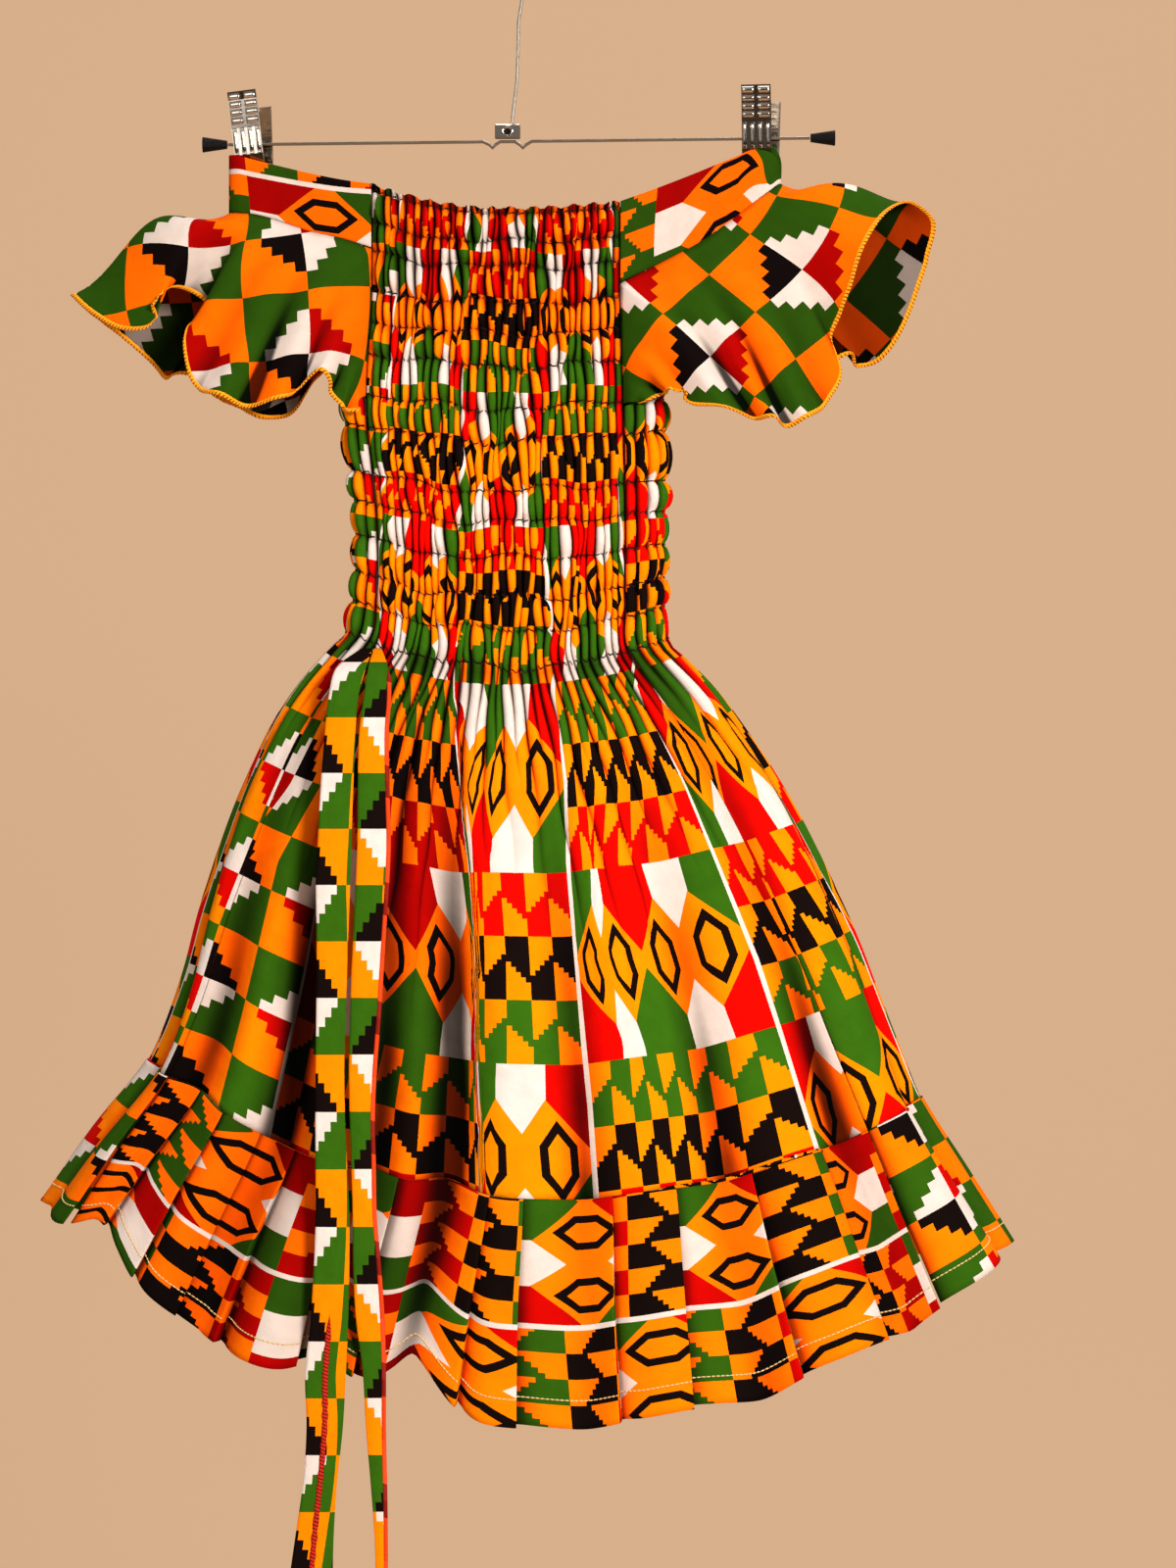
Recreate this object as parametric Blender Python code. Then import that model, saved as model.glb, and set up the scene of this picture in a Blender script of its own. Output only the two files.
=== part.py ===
# Off-shoulder smocked dress for a child of four to five, hung by two clips from a wire hanger.
# X runs to the viewer's right, Y to the back, Z up. The origin is the inside top of the hook.
# Sizes are in millimetres. Heights in the tables are measured from the hanger's bar, down negative.

import math

import bmesh
import bpy
import numpy as np

MM = 0.001
BAR_HEIGHT = -125.0
SEAM_GAP = 0.3

CLOTH_WALL = 1.3
BAND_WALL = 1.4
TIE_WALL = 1.2

NECK_TO_WAIST = 252.0
NECK_TO_TIER = 537.0
NECK_TO_HEM = 652.0
UNDERARM_DOWN = 112.0
BACK_ARMHOLE_END = 52.0
FLATNESS = 0.8

FRONT_PUFFS = 26
BACK_PUFFS = 30
PUFF_HEIGHT = 3.2
ROW_RIDGE = 0.7
WAIST_GATHER = 2.4
GATHER_START = (262, 280)
GATHER_END = (290, 390)
FOLD_CREST = 5.0
LIFT_START = 332.0
PLEAT_TOP_STEP = 0.8
PLEAT_HEM_STEP = 6.5
FRONT_PLEATS = 9
BACK_PLEATS = 13
FRONT_SKIRT_COLUMNS = 36
BACK_SKIRT_COLUMNS = 46
SHIRRING_ROWS = (3, 19, 33, 53, 70, 88, 111, 129, 156, 173, 193, 214, 232, 252)
SKIRT_LEVELS = (262, 280, 305, 335, 370, 408, 450, 494, 536.85)
LINING_LEVELS = (0, 19, 33, 53, 70, 111, 142.5, 173, 203.5, 232, 242, 252)
TIER_LEVELS = (537.15, 560, 590, 620, 652)

TIE_SEAT_REACH = 3.0
TIE_SEAT_GAP = 0.9
FLOUNCE_EASE = 9
FLOUNCE_STAND = 5.0

WIRE_RADIUS = 0.9
BAR_LENGTH = 321.0
BAR_LEFT_END = -161.0
BAR_LEFT_HEIGHT = -2.6
BAR_RISE = 3.7
CAP_RADII = (2.3, 4.3)
CAP_LENGTH = 13.5
HOOK_INNER_RADIUS = 20.0
CLIP_WIDTH = 16.4
JAW_SHEET = 1.0
JAW_COLUMNS = (-8.2, -7.9, -5.3, -3.5, -0.9, 0.9, 3.5, 5.3, 7.9, 8.2)
JAW_HEIGHTS = (28.5, 27.7, 24.0, 23.3, 19.6, 18.9, 15.2, 14.5, 10.8, 8.6, -6, -14, -19, -22)
BACK_JAW_HEIGHTS = (21, 5, 1, -4, -14, -19, -22)
PILL_ROWS = (1, 3, 5, 7)
PILL_COLUMNS = (1, 2, 3, 5, 6, 7)
LONG_RIB_ROW = 9
LONG_RIB_COLUMNS = (1, 3, 5, 7)
SPRING_RADIUS = 4.0
SPRING_BORE = 2.0
SPRING_LENGTH = 4.0


def table(names, *rows):
    return {name: np.array(column, float) for name, column in zip(names.split(), zip(*rows))}


# One row for each level of the dress. down is the length of cloth below the neckline at centre front.
# Seam angles run from the right side (0) over the front (90) to the left side (180).
SECTIONS = table(
    "down  x_left x_right y_front y_back z_front z_left z_right z_back seam_left seam_right",
    (0,    -92,   76,     -16,    14,    -40,    -21,   -32,    -37,   150.5,    41),
    (60,   -92,   76,     -22,    18,    -99,    -88,   -92,    -95,   150.5,    41),
    (112,  -95,   78,     -26,    22,    -151,   -140,  -144,   -145,  150.5,    41),
    (180,  -89,   78.5,   -26,    22,    -219,   -205,  -210,   -212,  150.0,    41),
    (225,  -89.5, 78.5,   -26,    22,    -264,   -247,  -252,   -257,  149.5,    41),
    (252,  -94.5, 81,     -27,    24,    -291,   -271,  -276,   -284,  149.0,    41),
    (262,  -102,  89,     -30,    27,    -301,   -279,  -285,   -293,  149.0,    41),
    (280,  -116,  104,    -36,    32,    -319,   -295,  -301,   -309,  150.0,    40),
    (309,  -133,  124,    -44,    39,    -348,   -318,  -327,   -335,  151.0,    39),
    (352,  -151,  148,    -54,    48,    -391,   -354,  -365,   -374,  153.0,    37),
    (394,  -164,  167,    -63,    57,    -433,   -389,  -402,   -412,  155.0,    35),
    (437,  -175,  184,    -71,    64,    -476,   -425,  -440,   -450,  157.0,    33),
    (480,  -184,  198,    -78,    71,    -519,   -461,  -478,   -489,  158.5,    31.5),
    (537,  -202,  218,    -86,    78,    -576,   -508,  -529,   -540,  160.0,    30),
    (595,  -231,  240,    -95,    88,    -635,   -549,  -570,   -594,  160.0,    30),
    (652,  -257,  263,    -104,   97,    -694,   -589,  -612,   -648,  160.0,    30),
)

# Long folds of the skirt, as hollows: angle round the dress, width, depth and lift at the hem.
SKIRT_FOLDS = table(
    "angle width depth lift",
    (8,    7,    12,   4),
    (36,   7,    14,   -5),
    (60,   6,    12,   -6),
    (82,   5,    10,   -2),
    (103,  5,    22,   34),
    (114,  4.5,  14,   20),
    (132,  6,    22,   2),
    (151,  8,    12,   24),
    (172,  7,    12,   6),
    (196,  8,    12,   2),
    (221,  8,    15,   2),
    (247,  6,    14,   3),
    (268,  6,    20,   2),
    (291,  6,    14,   0),
    (315,  7,    18,   3),
    (342,  7,    14,   2),
)

# Shoulder bands, from the front panel round the shoulder end to the back panel. Between the jaws
# of its clip the back layer lies in the plane of the clip.
LEFT_BAND = table(
    "x      y      top    bottom",
    (-98,   -10,   -23,   -55),
    (-116,  -9.5,  -19.3, -51),
    (-135,  -9.3,  -14.8, -44.5),
    (-148,  -8.8,  -11.5, -41.5),
    (-155.5, -7.4, -9.3,  -40.8),
    (-158.6, -5.0, -9,    -40.5),
    (-159.6, -1.6, -9,    -40.5),
    (-159.4, 1.4,  -9,    -40.5),
    (-157.6, 2.9,  -9.3,  -41),
    (-154.1, 1.8,  -10.2, -41.6),
    (-135.4, -3.6, -14.2, -45),
    (-129,  -2.6,  -15.8, -47),
    (-118,  3.4,   -18.6, -50.6),
    (-103,  8,     -22,   -54),
)
RIGHT_BAND = table(
    "x     y     top    bottom",
    (75,   -10,  -28,   -70),
    (98,   -9.5, -19,   -58),
    (118,  -9,   -10.8, -44),
    (130,  -8.8, -6.4,  -34.5),
    (138.6, -8,  -8.4,  -28),
    (142.2, -6.4, -12.4, -25.2),
    (143.8, -4.2, -15.5, -24.6),
    (143.2, -2.5, -9,   -25),
    (139.4, -1.8, -3.4,  -28),
    (122.8, 1.8, -9.5,  -40),
    (104,  4,    -17,   -54),
    (85,   8,    -25,   -65),
)

# shoulder to the back underarm, lift is how far the cloth bulges out over the straight line.
LEFT_FLOUNCE = table(
    "along  x     y    z     lift",
    (0.000, -88,  -20, -151, 0),
    (0.050, -98,  -27, -150, 1),
    (0.105, -101, -30, -138, 3),
    (0.165, -110, -30, -131, 4),
    (0.220, -119, -34, -139, 5),
    (0.260, -128, -37, -146, 6),
    (0.300, -146, -38, -149, 7),
    (0.340, -162, -38, -145, 8),
    (0.370, -174, -36, -139, 9),
    (0.392, -180, -30, -130, 9),
    (0.408, -181, -24, -115, 8),
    (0.420, -175, -18, -104, 7),
    (0.430, -168, -9,  -98,  7),
    (0.438, -171, -4,  -91,  8),
    (0.446, -180, -8,  -85,  9),
    (0.453, -188, -18, -85,  11),
    (0.459, -193, -26, -91,  15),
    (0.465, -199, -31, -100, 17),
    (0.472, -208, -31, -105, 19),
    (0.478, -222, -24, -103, 21),
    (0.483, -236, -13, -94,  22),
    (0.490, -247, 0,   -84,  22),
    (0.500, -241, 13,  -91,  21),
    (0.520, -223, 23,  -106, 18),
    (0.545, -207, 29,  -120, 13),
    (0.570, -198, 30,  -128, 8),
    (0.610, -185, 24,  -127, 7),
    (0.650, -171, 19,  -138, 6),
    (0.700, -156, 24,  -146, 5),
    (0.790, -131, 26,  -151, 3),
    (0.890, -114, 20,  -130, 2),
    (1.000, -104, 12,  -118, 0),
)
RIGHT_FLOUNCE = table(
    "along  x    y    z     lift",
    (0.000, 67,  -20, -146, 0),
    (0.050, 77,  -27, -143, 2),
    (0.105, 86,  -33, -140, 4),
    (0.160, 94,  -38, -146, 5),
    (0.215, 111, -39, -152, 6),
    (0.265, 127, -40, -155, 7),
    (0.315, 140, -40, -158, 8),
    (0.355, 151, -38, -159, 8),
    (0.390, 162, -34, -153, 8),
    (0.415, 171, -26, -143, 8),
    (0.432, 177, -18, -128, 7),
    (0.444, 171, -12, -111, 7),
    (0.454, 177, -16, -97,  8),
    (0.463, 183, -22, -82,  10),
    (0.471, 190, -26, -61,  11),
    (0.478, 201, -20, -45,  11),
    (0.485, 215, -10, -38,  11),
    (0.492, 228, 2,   -44,  11),
    (0.502, 226, 12,  -62,  11),
    (0.515, 221, 16,  -78,  10),
    (0.535, 212, 20,  -101, 9),
    (0.560, 201, 22,  -118, 8),
    (0.590, 191, 20,  -122, 7),
    (0.620, 182, 14,  -118, 6),
    (0.655, 170, 12,  -123, 5),
    (0.700, 154, 20,  -133, 4),
    (0.780, 130, 24,  -137, 3),
    (0.880, 110, 20,  -136, 2),
    (1.000, 93,  12,  -126, 0),
)

# Tie strips hanging from the left side seam: both edges and height.
LEFT_TIE = table(
    "z     left   right",
    (-281, -86,   -80),
    (-290, -98,   -82),
    (-310, -103,  -87),
    (-355, -106,  -88.5),
    (-410, -108,  -89.5),
    (-440, -107,  -90.5),
    (-515, -107,  -92),
    (-590, -106,  -88),
    (-632, -108,  -88.5),
    (-666, -111.5, -90),
    (-702, -110.5, -92),
    (-738, -114,  -96.4),
    (-770, -120,  -96.5),
    (-782, -121,  -97),
)
RIGHT_TIE = table(
    "z     left   right",
    (-281, -79,   -75),
    (-296, -82,   -69),
    (-330, -86,   -71),
    (-392, -86,   -69),
    (-455, -88.5, -72.5),
    (-500, -89.5, -75),
    (-515, -89.5, -77),
    (-585, -86.5, -75),
    (-627, -86,   -71),
    (-666, -81,   -70),
    (-702, -79,   -70),
    (-738, -75.5, -69),
    (-770, -74,   -69),
    (-782, -74,   -69),
)

MATERIALS = {
    "smocked_print": ((0.72, 0.24, 0.05), 0.85, 0.0),
    "band_print": ((0.55, 0.10, 0.04), 0.85, 0.0),
    "flounce_print": ((0.75, 0.30, 0.05), 0.85, 0.0),
    "tier_print": ((0.62, 0.16, 0.04), 0.85, 0.0),
    "tie_print": ((0.14, 0.24, 0.05), 0.85, 0.0),
    "chrome": ((0.80, 0.80, 0.80), 0.15, 1.0),
    "black_rubber": ((0.02, 0.02, 0.02), 0.6, 0.0),
}


def curve(at, knots, values):
    # Smooth curve through the values: a cubic between each two knots.
    slopes = np.gradient(values, knots)
    first = np.clip(np.searchsorted(knots, at, side="right") - 1, 0, len(knots) - 2)
    span = knots[first + 1] - knots[first]
    t = (at - knots[first]) / span
    start = values[first] * (1 + 2 * t) * (1 - t) ** 2 + slopes[first] * span * t * (1 - t) ** 2
    end = values[first + 1] * t ** 2 * (3 - 2 * t) + slopes[first + 1] * span * t ** 2 * (t - 1)
    return start + end


def section(name, down):
    return curve(np.asarray(down, float), SECTIONS["down"], SECTIONS[name])


def ease(low, high, value):
    t = np.clip((value - low) / (high - low), 0, 1)
    return t * t * (3 - 2 * t)


def unit(vectors):
    return vectors / np.linalg.norm(vectors, axis=-1, keepdims=True)


def ring(angle, down):
    # A flattened oval at each level. Its middle hangs lower than its sides.
    turn = np.radians(angle)
    middle = (section("x_left", down) + section("x_right", down)) / 2
    half = (section("x_right", down) - section("x_left", down)) / 2
    sine = np.sin(turn)
    depth = np.where(sine > 0, section("y_front", down), section("y_back", down))
    x = middle + half * np.cos(turn)
    y = depth * np.abs(sine) ** FLATNESS
    centre = np.where(sine > 0, section("z_front", down), section("z_back", down))
    side = np.where(np.cos(turn) < 0, section("z_left", down), section("z_right", down))
    z = centre + (side - centre) * np.cos(turn) ** 2
    return np.stack([x, y, z], axis=-1)


def front_limits(down):
    return section("seam_left", down), section("seam_right", down)


def back_limits(down):
    # Above the underarm the back panel's edges leave the side seams and run to the back.
    climb = np.clip(1 - down / UNDERARM_DOWN, 0, 1) ** 0.6
    left = section("seam_left", down)
    right = section("seam_right", down)
    return 360 + right - 2 * right * climb, left + 2 * (180 - left) * climb


def panel_angles(limits, down, across):
    # Angle at each fraction across a panel, spaced evenly along the cloth.
    first, last = limits(down)
    fine = np.linspace(first, last, 241)
    points = ring(fine, np.full(fine.shape, float(down)))
    steps = np.linalg.norm(np.diff(points, axis=0), axis=1)
    length = np.concatenate([[0], np.cumsum(steps)])
    edge = SEAM_GAP / 2
    return np.interp(edge + across * (length[-1] - 2 * edge), length, fine)


def skirt_shape(angle, down):
    # Outward push of the long folds, and the lift of the cloth at each.
    hang = ease(NECK_TO_WAIST - 5, NECK_TO_TIER, down)
    low = np.clip((down - LIFT_START) / (NECK_TO_HEM - LIFT_START), 0, 1) ** 3
    push = FOLD_CREST * hang
    lift = np.zeros_like(push)
    for fold in range(len(SKIRT_FOLDS["angle"])):
        away = (angle - SKIRT_FOLDS["angle"][fold] + 180) % 360 - 180
        hollow = np.exp(-(away / SKIRT_FOLDS["width"][fold]) ** 2)
        push = push - SKIRT_FOLDS["depth"][fold] * hollow * hang
        lift = lift + SKIRT_FOLDS["lift"][fold] * hollow * low
    return push, lift


def facing(surface, angle, down):
    # Outward direction of a surface given as a function of angle and level.
    right = surface(angle - 0.3, down) - surface(angle + 0.3, down)
    fall = surface(angle, down + 0.5) - surface(angle, down - 0.5)
    return unit(np.cross(fall, right))


def body_surface(angle, down):
    push, lift = skirt_shape(angle, down)
    points = ring(angle, down) + facing(ring, angle, down) * push[..., None]
    points[..., 2] += lift
    return points


def outward(grid):
    down = np.gradient(grid, axis=0)
    right = np.gradient(grid, axis=1)
    return unit(np.cross(down, right))


def body_grid(limits, levels, across):
    angle = np.array([panel_angles(limits, down, across) for down in levels])
    down = np.repeat(np.array(levels, float)[:, None], len(across), axis=1)
    return body_surface(angle, down), facing(body_surface, angle, down)


def bodice_levels():
    levels = [0.0]
    for above, below in zip(SHIRRING_ROWS, SHIRRING_ROWS[1:]):
        levels += [above, (above + below) / 2]
    return levels + [SHIRRING_ROWS[-1]]


def uneven(row, column):
    # A fixed, uneven number from 0 to 1 for each puff.
    return (np.sin(row * 12.9898 + column * 78.233) * 43758.5453) % 1


def smocked_panel(limits, puffs):
    # Outer points: two columns for each puff, pinched flat at every shirring row and at the seams.
    columns = 2 * puffs + 1
    levels = bodice_levels()
    across = np.linspace(0, 1, columns)
    grid, normal = body_grid(limits, levels, across)
    column = np.arange(columns)
    inset = np.clip(np.minimum(column, columns - 1 - column) / 3, 0, 1)
    for row, down in enumerate(levels):
        height = PUFF_HEIGHT * (0.7 + 0.5 * uneven(row, column // 2))
        if down in SHIRRING_ROWS:
            height = np.full(columns, ROW_RIDGE)
        ridge = np.where(column % 2 == 1, height, 0.25 * height) * inset
        grid[row] += normal[row] * (CLOTH_WALL / 2 + ridge)[:, None]
    return [(row, across, down) for row, down in zip(grid, levels)]


def skirt_panel(limits, columns, edge_across, side):
    # side is 1 for the outer points and -1 for the inner ones. The last row meets the pleated tier.
    across = np.linspace(0, 1, columns + 1)
    rows = []
    for down in SKIRT_LEVELS:
        last = down == SKIRT_LEVELS[-1]
        places = edge_across if last else across
        grid, normal = body_grid(limits, (down,), places)
        gather = WAIST_GATHER * ease(*GATHER_START, down) * (1 - ease(*GATHER_END, down))
        wave = np.cos(np.arange(len(places)) * math.pi)
        points = grid[0] + normal[0] * (side * CLOTH_WALL / 2 - gather * wave)[:, None]
        rows.append((points, places, down))
    return rows


def body_panel(limits, puffs, skirt_columns, edge_across):
    outer = smocked_panel(limits, puffs) + skirt_panel(limits, skirt_columns, edge_across, 1)
    inner = []
    for down in LINING_LEVELS:
        columns = skirt_columns if down == LINING_LEVELS[-1] else puffs // 2
        across = np.linspace(0, 1, columns + 1)
        plain, normal = body_grid(limits, (down,), across)
        inner.append((plain[0] - normal[0] * CLOTH_WALL / 2, across, down))
    return outer, inner + skirt_panel(limits, skirt_columns, edge_across, -1)


def strip_faces(upper, lower, upper_at, lower_at):
    # Faces between two lists of points, each walked from left to right.
    faces = []
    if len(upper) == len(lower):
        for c in range(len(upper) - 1):
            faces.append((upper[c], lower[c], lower[c + 1]))
            faces.append((upper[c], lower[c + 1], upper[c + 1]))
        return faces
    u = 0
    low = 0
    while u < len(upper) - 1 or low < len(lower) - 1:
        lower_turn = low < len(lower) - 1
        if lower_turn and u < len(upper) - 1:
            lower_turn = lower_at[low + 1] <= upper_at[u + 1]
        if lower_turn:
            faces.append((upper[u], lower[low], lower[low + 1]))
            low += 1
        else:
            faces.append((upper[u], lower[low], upper[u + 1]))
            u += 1
    return faces


def number_rows(rows, start):
    numbered = []
    for points, across, down in rows:
        numbered.append((list(range(start, start + len(points))), across, down))
        start += len(points)
    return numbered, start


def wall_mesh(outer, inner):
    # A closed sheet: outer face, inner face and the rim that joins them.
    vertices = [tuple(point) for rows in (outer, inner) for row in rows for point in row[0]]
    front, count = number_rows(outer, 0)
    back, count = number_rows(inner, count)
    faces = []
    for above, below in zip(front, front[1:]):
        faces += strip_faces(above[0], below[0], above[1], below[1])
    for above, below in zip(back, back[1:]):
        faces += [face[::-1] for face in strip_faces(above[0], below[0], above[1], below[1])]
    faces += strip_faces(back[0][0], front[0][0], back[0][1], front[0][1])
    faces += strip_faces(front[-1][0], back[-1][0], front[-1][1], back[-1][1])
    front_down = [row[2] for row in front]
    back_down = [row[2] for row in back]
    front_left = [row[0][0] for row in front]
    back_left = [row[0][0] for row in back]
    front_right = [row[0][-1] for row in front]
    back_right = [row[0][-1] for row in back]
    faces += strip_faces(front_left, back_left, front_down, back_down)
    faces += strip_faces(back_right, front_right, back_down, front_down)
    return vertices, faces


def sheet_mesh(grid, thickness, normal=None):
    normal = outward(grid) if normal is None else normal
    across = np.linspace(0, 1, grid.shape[1])
    outer = [(row, across, down) for down, row in enumerate(grid + normal * thickness / 2)]
    inner = [(row, across, down) for down, row in enumerate(grid - normal * thickness / 2)]
    return wall_mesh(outer, inner)


def paint(name):
    material = bpy.data.materials.get(name)
    if material is None:
        colour, roughness, metallic = MATERIALS[name]
        material = bpy.data.materials.new(name)
        material.use_nodes = True
        shader = material.node_tree.nodes["Principled BSDF"]
        shader.inputs["Base Color"].default_value = (*colour, 1)
        shader.inputs["Roughness"].default_value = roughness
        shader.inputs["Metallic"].default_value = metallic
    return material


def add_object(name, mesh, material, smooth_angle=40):
    mesh.name = name
    mesh.shade_smooth()
    mesh.set_sharp_from_angle(angle=math.radians(smooth_angle))
    mesh.materials.append(paint(material))
    thing = bpy.data.objects.new(name, mesh)
    bpy.context.scene.collection.objects.link(thing)
    return thing


def add_cloth(name, shape, material):
    vertices, faces = shape
    points = (np.array(vertices) + (0, 0, BAR_HEIGHT)) * MM
    mesh = bpy.data.meshes.new(name)
    mesh.from_pydata(points.tolist(), [], faces)
    return add_object(name, mesh, material)


def pleat_columns(pleats):
    # Four columns for each knife pleat: root, middle, near the fold and the fold's edge.
    steps = []
    for pleat in range(pleats):
        share = 1 + 0.25 * (uneven(pleat, pleats) - 0.5)
        steps += [0.45 * share, 0.37 * share, 0.1 * share, 0.08 * share]
    across = np.concatenate([[0], np.cumsum(steps)])
    across /= across[-1]
    rise = np.tile([0, 0.5, 0.92, 1.0], pleats)
    return across, np.append(rise, 0)


def pleated_tier(limits, pleats):
    # Knife pleats that open towards the hem. They are sewn almost flat at the top.
    across, rise = pleat_columns(pleats)
    grid, smooth = body_grid(limits, TIER_LEVELS, across)
    levels = np.array(TIER_LEVELS)
    fall = (levels - levels[0]) / (levels[-1] - levels[0])
    depth = PLEAT_TOP_STEP + PLEAT_HEM_STEP * fall[:, None]
    grid += smooth * (depth * rise)[..., None]
    normal = outward(grid)
    normal[:, 0] = smooth[:, 0]
    normal[:, -1] = smooth[:, -1]
    normal[0] = smooth[0]
    return sheet_mesh(grid, CLOTH_WALL, normal)


def band_grid(band, front_edge, back_edge, depth_down):
    # Two rows of points, along the band's top and bottom edge, with one between.
    rows = []
    for fraction in (0.0, 0.5, 1.0):
        front_end = front_edge(fraction * depth_down)[0]
        back_end = back_edge(fraction * depth_down)[0]
        z = band["top"] + (band["bottom"] - band["top"]) * fraction
        middle = np.stack([band["x"], band["y"], z], axis=1)
        rows.append(np.vstack([front_end, middle, back_end]))
    return np.array(rows)


def panel_edge(limits, side, beyond):
    # Degrees beyond a panel's edge, with the way its cloth faces there. side is -1 for the left edge.
    def edge(down):
        down = np.atleast_1d(np.asarray(down, float))
        angle = limits(down)[0 if side < 0 else 1] - side * beyond
        point = ring(angle, down)
        point[:, 2] += SEAM_GAP
        return point, facing(ring, angle, down)
    return edge


def resample(points, at_count):
    steps = np.linalg.norm(np.diff(points[:, :3], axis=0), axis=1)
    length = np.concatenate([[0], np.cumsum(steps)])
    at = np.linspace(0, length[-1], at_count)
    return np.stack([np.interp(at, length, column) for column in points.T], axis=1)


def armhole_path(band, side, front_edge, back_edge, depth_down):
    # From the front underarm up the panel, round under the band and down the back panel.
    front = np.hstack(front_edge(np.linspace(UNDERARM_DOWN, depth_down + 1, 12)))
    back = np.hstack(back_edge(np.linspace(depth_down + 1, BACK_ARMHOLE_END, 16)))
    under = np.stack([band["x"], band["y"], band["bottom"] - SEAM_GAP - 0.1], axis=1)
    way = np.gradient(under, axis=0)
    face = np.stack([side * way[:, 1], -side * way[:, 0], np.zeros(len(way))], axis=1)
    under = np.vstack([front[-1:], np.hstack([under, unit(face)]), back[:1]])
    path = np.vstack([resample(front, 97)[:-1], resample(under, 196), resample(back, 108)[1:]])
    return path[:, :3], unit(path[:, 3:])


def flounce_grid(edge_table, path_and_face, columns, rows=6):
    # From the seam the cloth first stands away from the body. Its waves grow towards the free edge.
    along = edge_table["along"]
    walk = np.interp(np.linspace(0, len(along) - 1, columns), np.arange(len(along)), along)
    path, path_face = path_and_face
    places = np.linspace(0, 1, len(path))
    seam = np.stack([np.interp(walk, places, path[:, axis]) for axis in range(3)], axis=1)
    face = np.stack([np.interp(walk, places, path_face[:, axis]) for axis in range(3)], axis=1)
    free = np.stack([curve(walk, along, edge_table[name]) for name in "xyz"], axis=1)
    lift = curve(walk, along, edge_table["lift"])
    padded = np.pad(free, ((FLOUNCE_EASE, FLOUNCE_EASE), (0, 0)), mode="reflect", reflect_type="odd")
    window = np.hanning(2 * FLOUNCE_EASE + 3)[1:-1]
    window /= window.sum()
    plain = np.stack([np.convolve(padded[:, axis], window, mode="valid") for axis in range(3)], axis=1)
    reach = np.linspace(0, 1, rows)[:, None, None]
    grid = seam + (plain - seam) * reach + (free - plain) * reach ** 2
    grid += face * FLOUNCE_STAND * 6.75 * reach * (1 - reach) ** 2
    grid[..., 2] += lift * np.sin(math.pi * reach[..., 0]) ** 2
    return grid, face


def band_mesh(band, side, front_edge, back_edge, depth_down):
    grid = band_grid(band, front_edge, back_edge, depth_down)[:, ::side]
    return sheet_mesh(grid, BAND_WALL)


def flounce_mesh(edge_table, side, path_and_face, columns):
    grid, face = flounce_grid(edge_table, path_and_face, columns)
    normal = outward(grid[:, ::side])
    normal[0] = face[::side]
    return sheet_mesh(grid[:, ::side], CLOTH_WALL, normal)


def front_surface_y(panels, x, z, reach):
    # The foremost point of the cloth near a place, seen from the front.
    near = (np.abs(panels[:, 0] - x) < reach) & (np.abs(panels[:, 2] - z) < reach + 3)
    return panels[near, 1].min() if near.any() else None


def tie_grid(tie, panels, offset):
    # The top end lies on the cloth at the waist. Below it the tie hangs clear of the folds.
    top, low = tie["z"][0], tie["z"][-1]
    levels = top + (low - top) * np.linspace(0, 1, 22) ** 1.25
    order = np.argsort(tie["z"])
    left = np.interp(levels, tie["z"][order], tie["left"][order])
    right = np.interp(levels, tie["z"][order], tie["right"][order])
    depth = []
    for z, x in zip(levels, (left + right) / 2):
        found = front_surface_y(panels, x, z, 13)
        depth.append(depth[-1] if found is None else found - offset)
    depth = np.pad(np.minimum.accumulate(np.array(depth)), (0, 2), mode="edge")
    depth = np.minimum(depth[:-2], np.minimum(depth[1:-1], depth[2:]))
    depth = np.convolve(np.pad(depth, 1, mode="edge"), np.ones(3) / 3, mode="valid") - 1
    rows = []
    for z, x_left, x_right, y in zip(levels, left, right, depth):
        rows.append([(x_left, y, z), ((x_left + x_right) / 2, y - 0.6, z), (x_right, y, z)])
    seat = []
    for x in (left[0], (left[0] + right[0]) / 2, right[0]):
        found = front_surface_y(panels, x, levels[0], TIE_SEAT_REACH)
        seat.append((x, found - TIE_WALL / 2 - TIE_SEAT_GAP, levels[0]))
    rows[0] = seat
    return np.array(rows)


def add_wire(name, points, radius, material="chrome", sides=2):
    data = bpy.data.curves.new(name, "CURVE")
    data.dimensions = "3D"
    data.bevel_depth = radius * MM
    data.bevel_resolution = sides
    data.use_fill_caps = True
    spline = data.splines.new("POLY")
    spline.points.add(len(points) - 1)
    for knot, point in zip(spline.points, points):
        knot.co = (point[0] * MM, point[1] * MM, (point[2] + BAR_HEIGHT) * MM, 1)
    data.materials.append(paint(material))
    thing = bpy.data.objects.new(name, data)
    bpy.context.scene.collection.objects.link(thing)
    return thing


def add_box(name, low, high, material, bevel=0.4):
    mesh = bpy.data.meshes.new(name)
    shape = bmesh.new()
    bmesh.ops.create_cube(shape, size=1)
    for vertex in shape.verts:
        for axis in range(3):
            corner = low[axis] if vertex.co[axis] < 0 else high[axis]
            vertex.co[axis] = corner * MM
        vertex.co.z += BAR_HEIGHT * MM
    bmesh.ops.bevel(shape, geom=shape.edges[:], offset=bevel * MM, segments=1, affect="EDGES")
    shape.to_mesh(mesh)
    shape.free()
    return add_object(name, mesh, material, 30)


def bar_height(x):
    # The bar rises a little to the right.
    return BAR_LEFT_HEIGHT + BAR_RISE * (x - BAR_LEFT_END) / BAR_LENGTH


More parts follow.
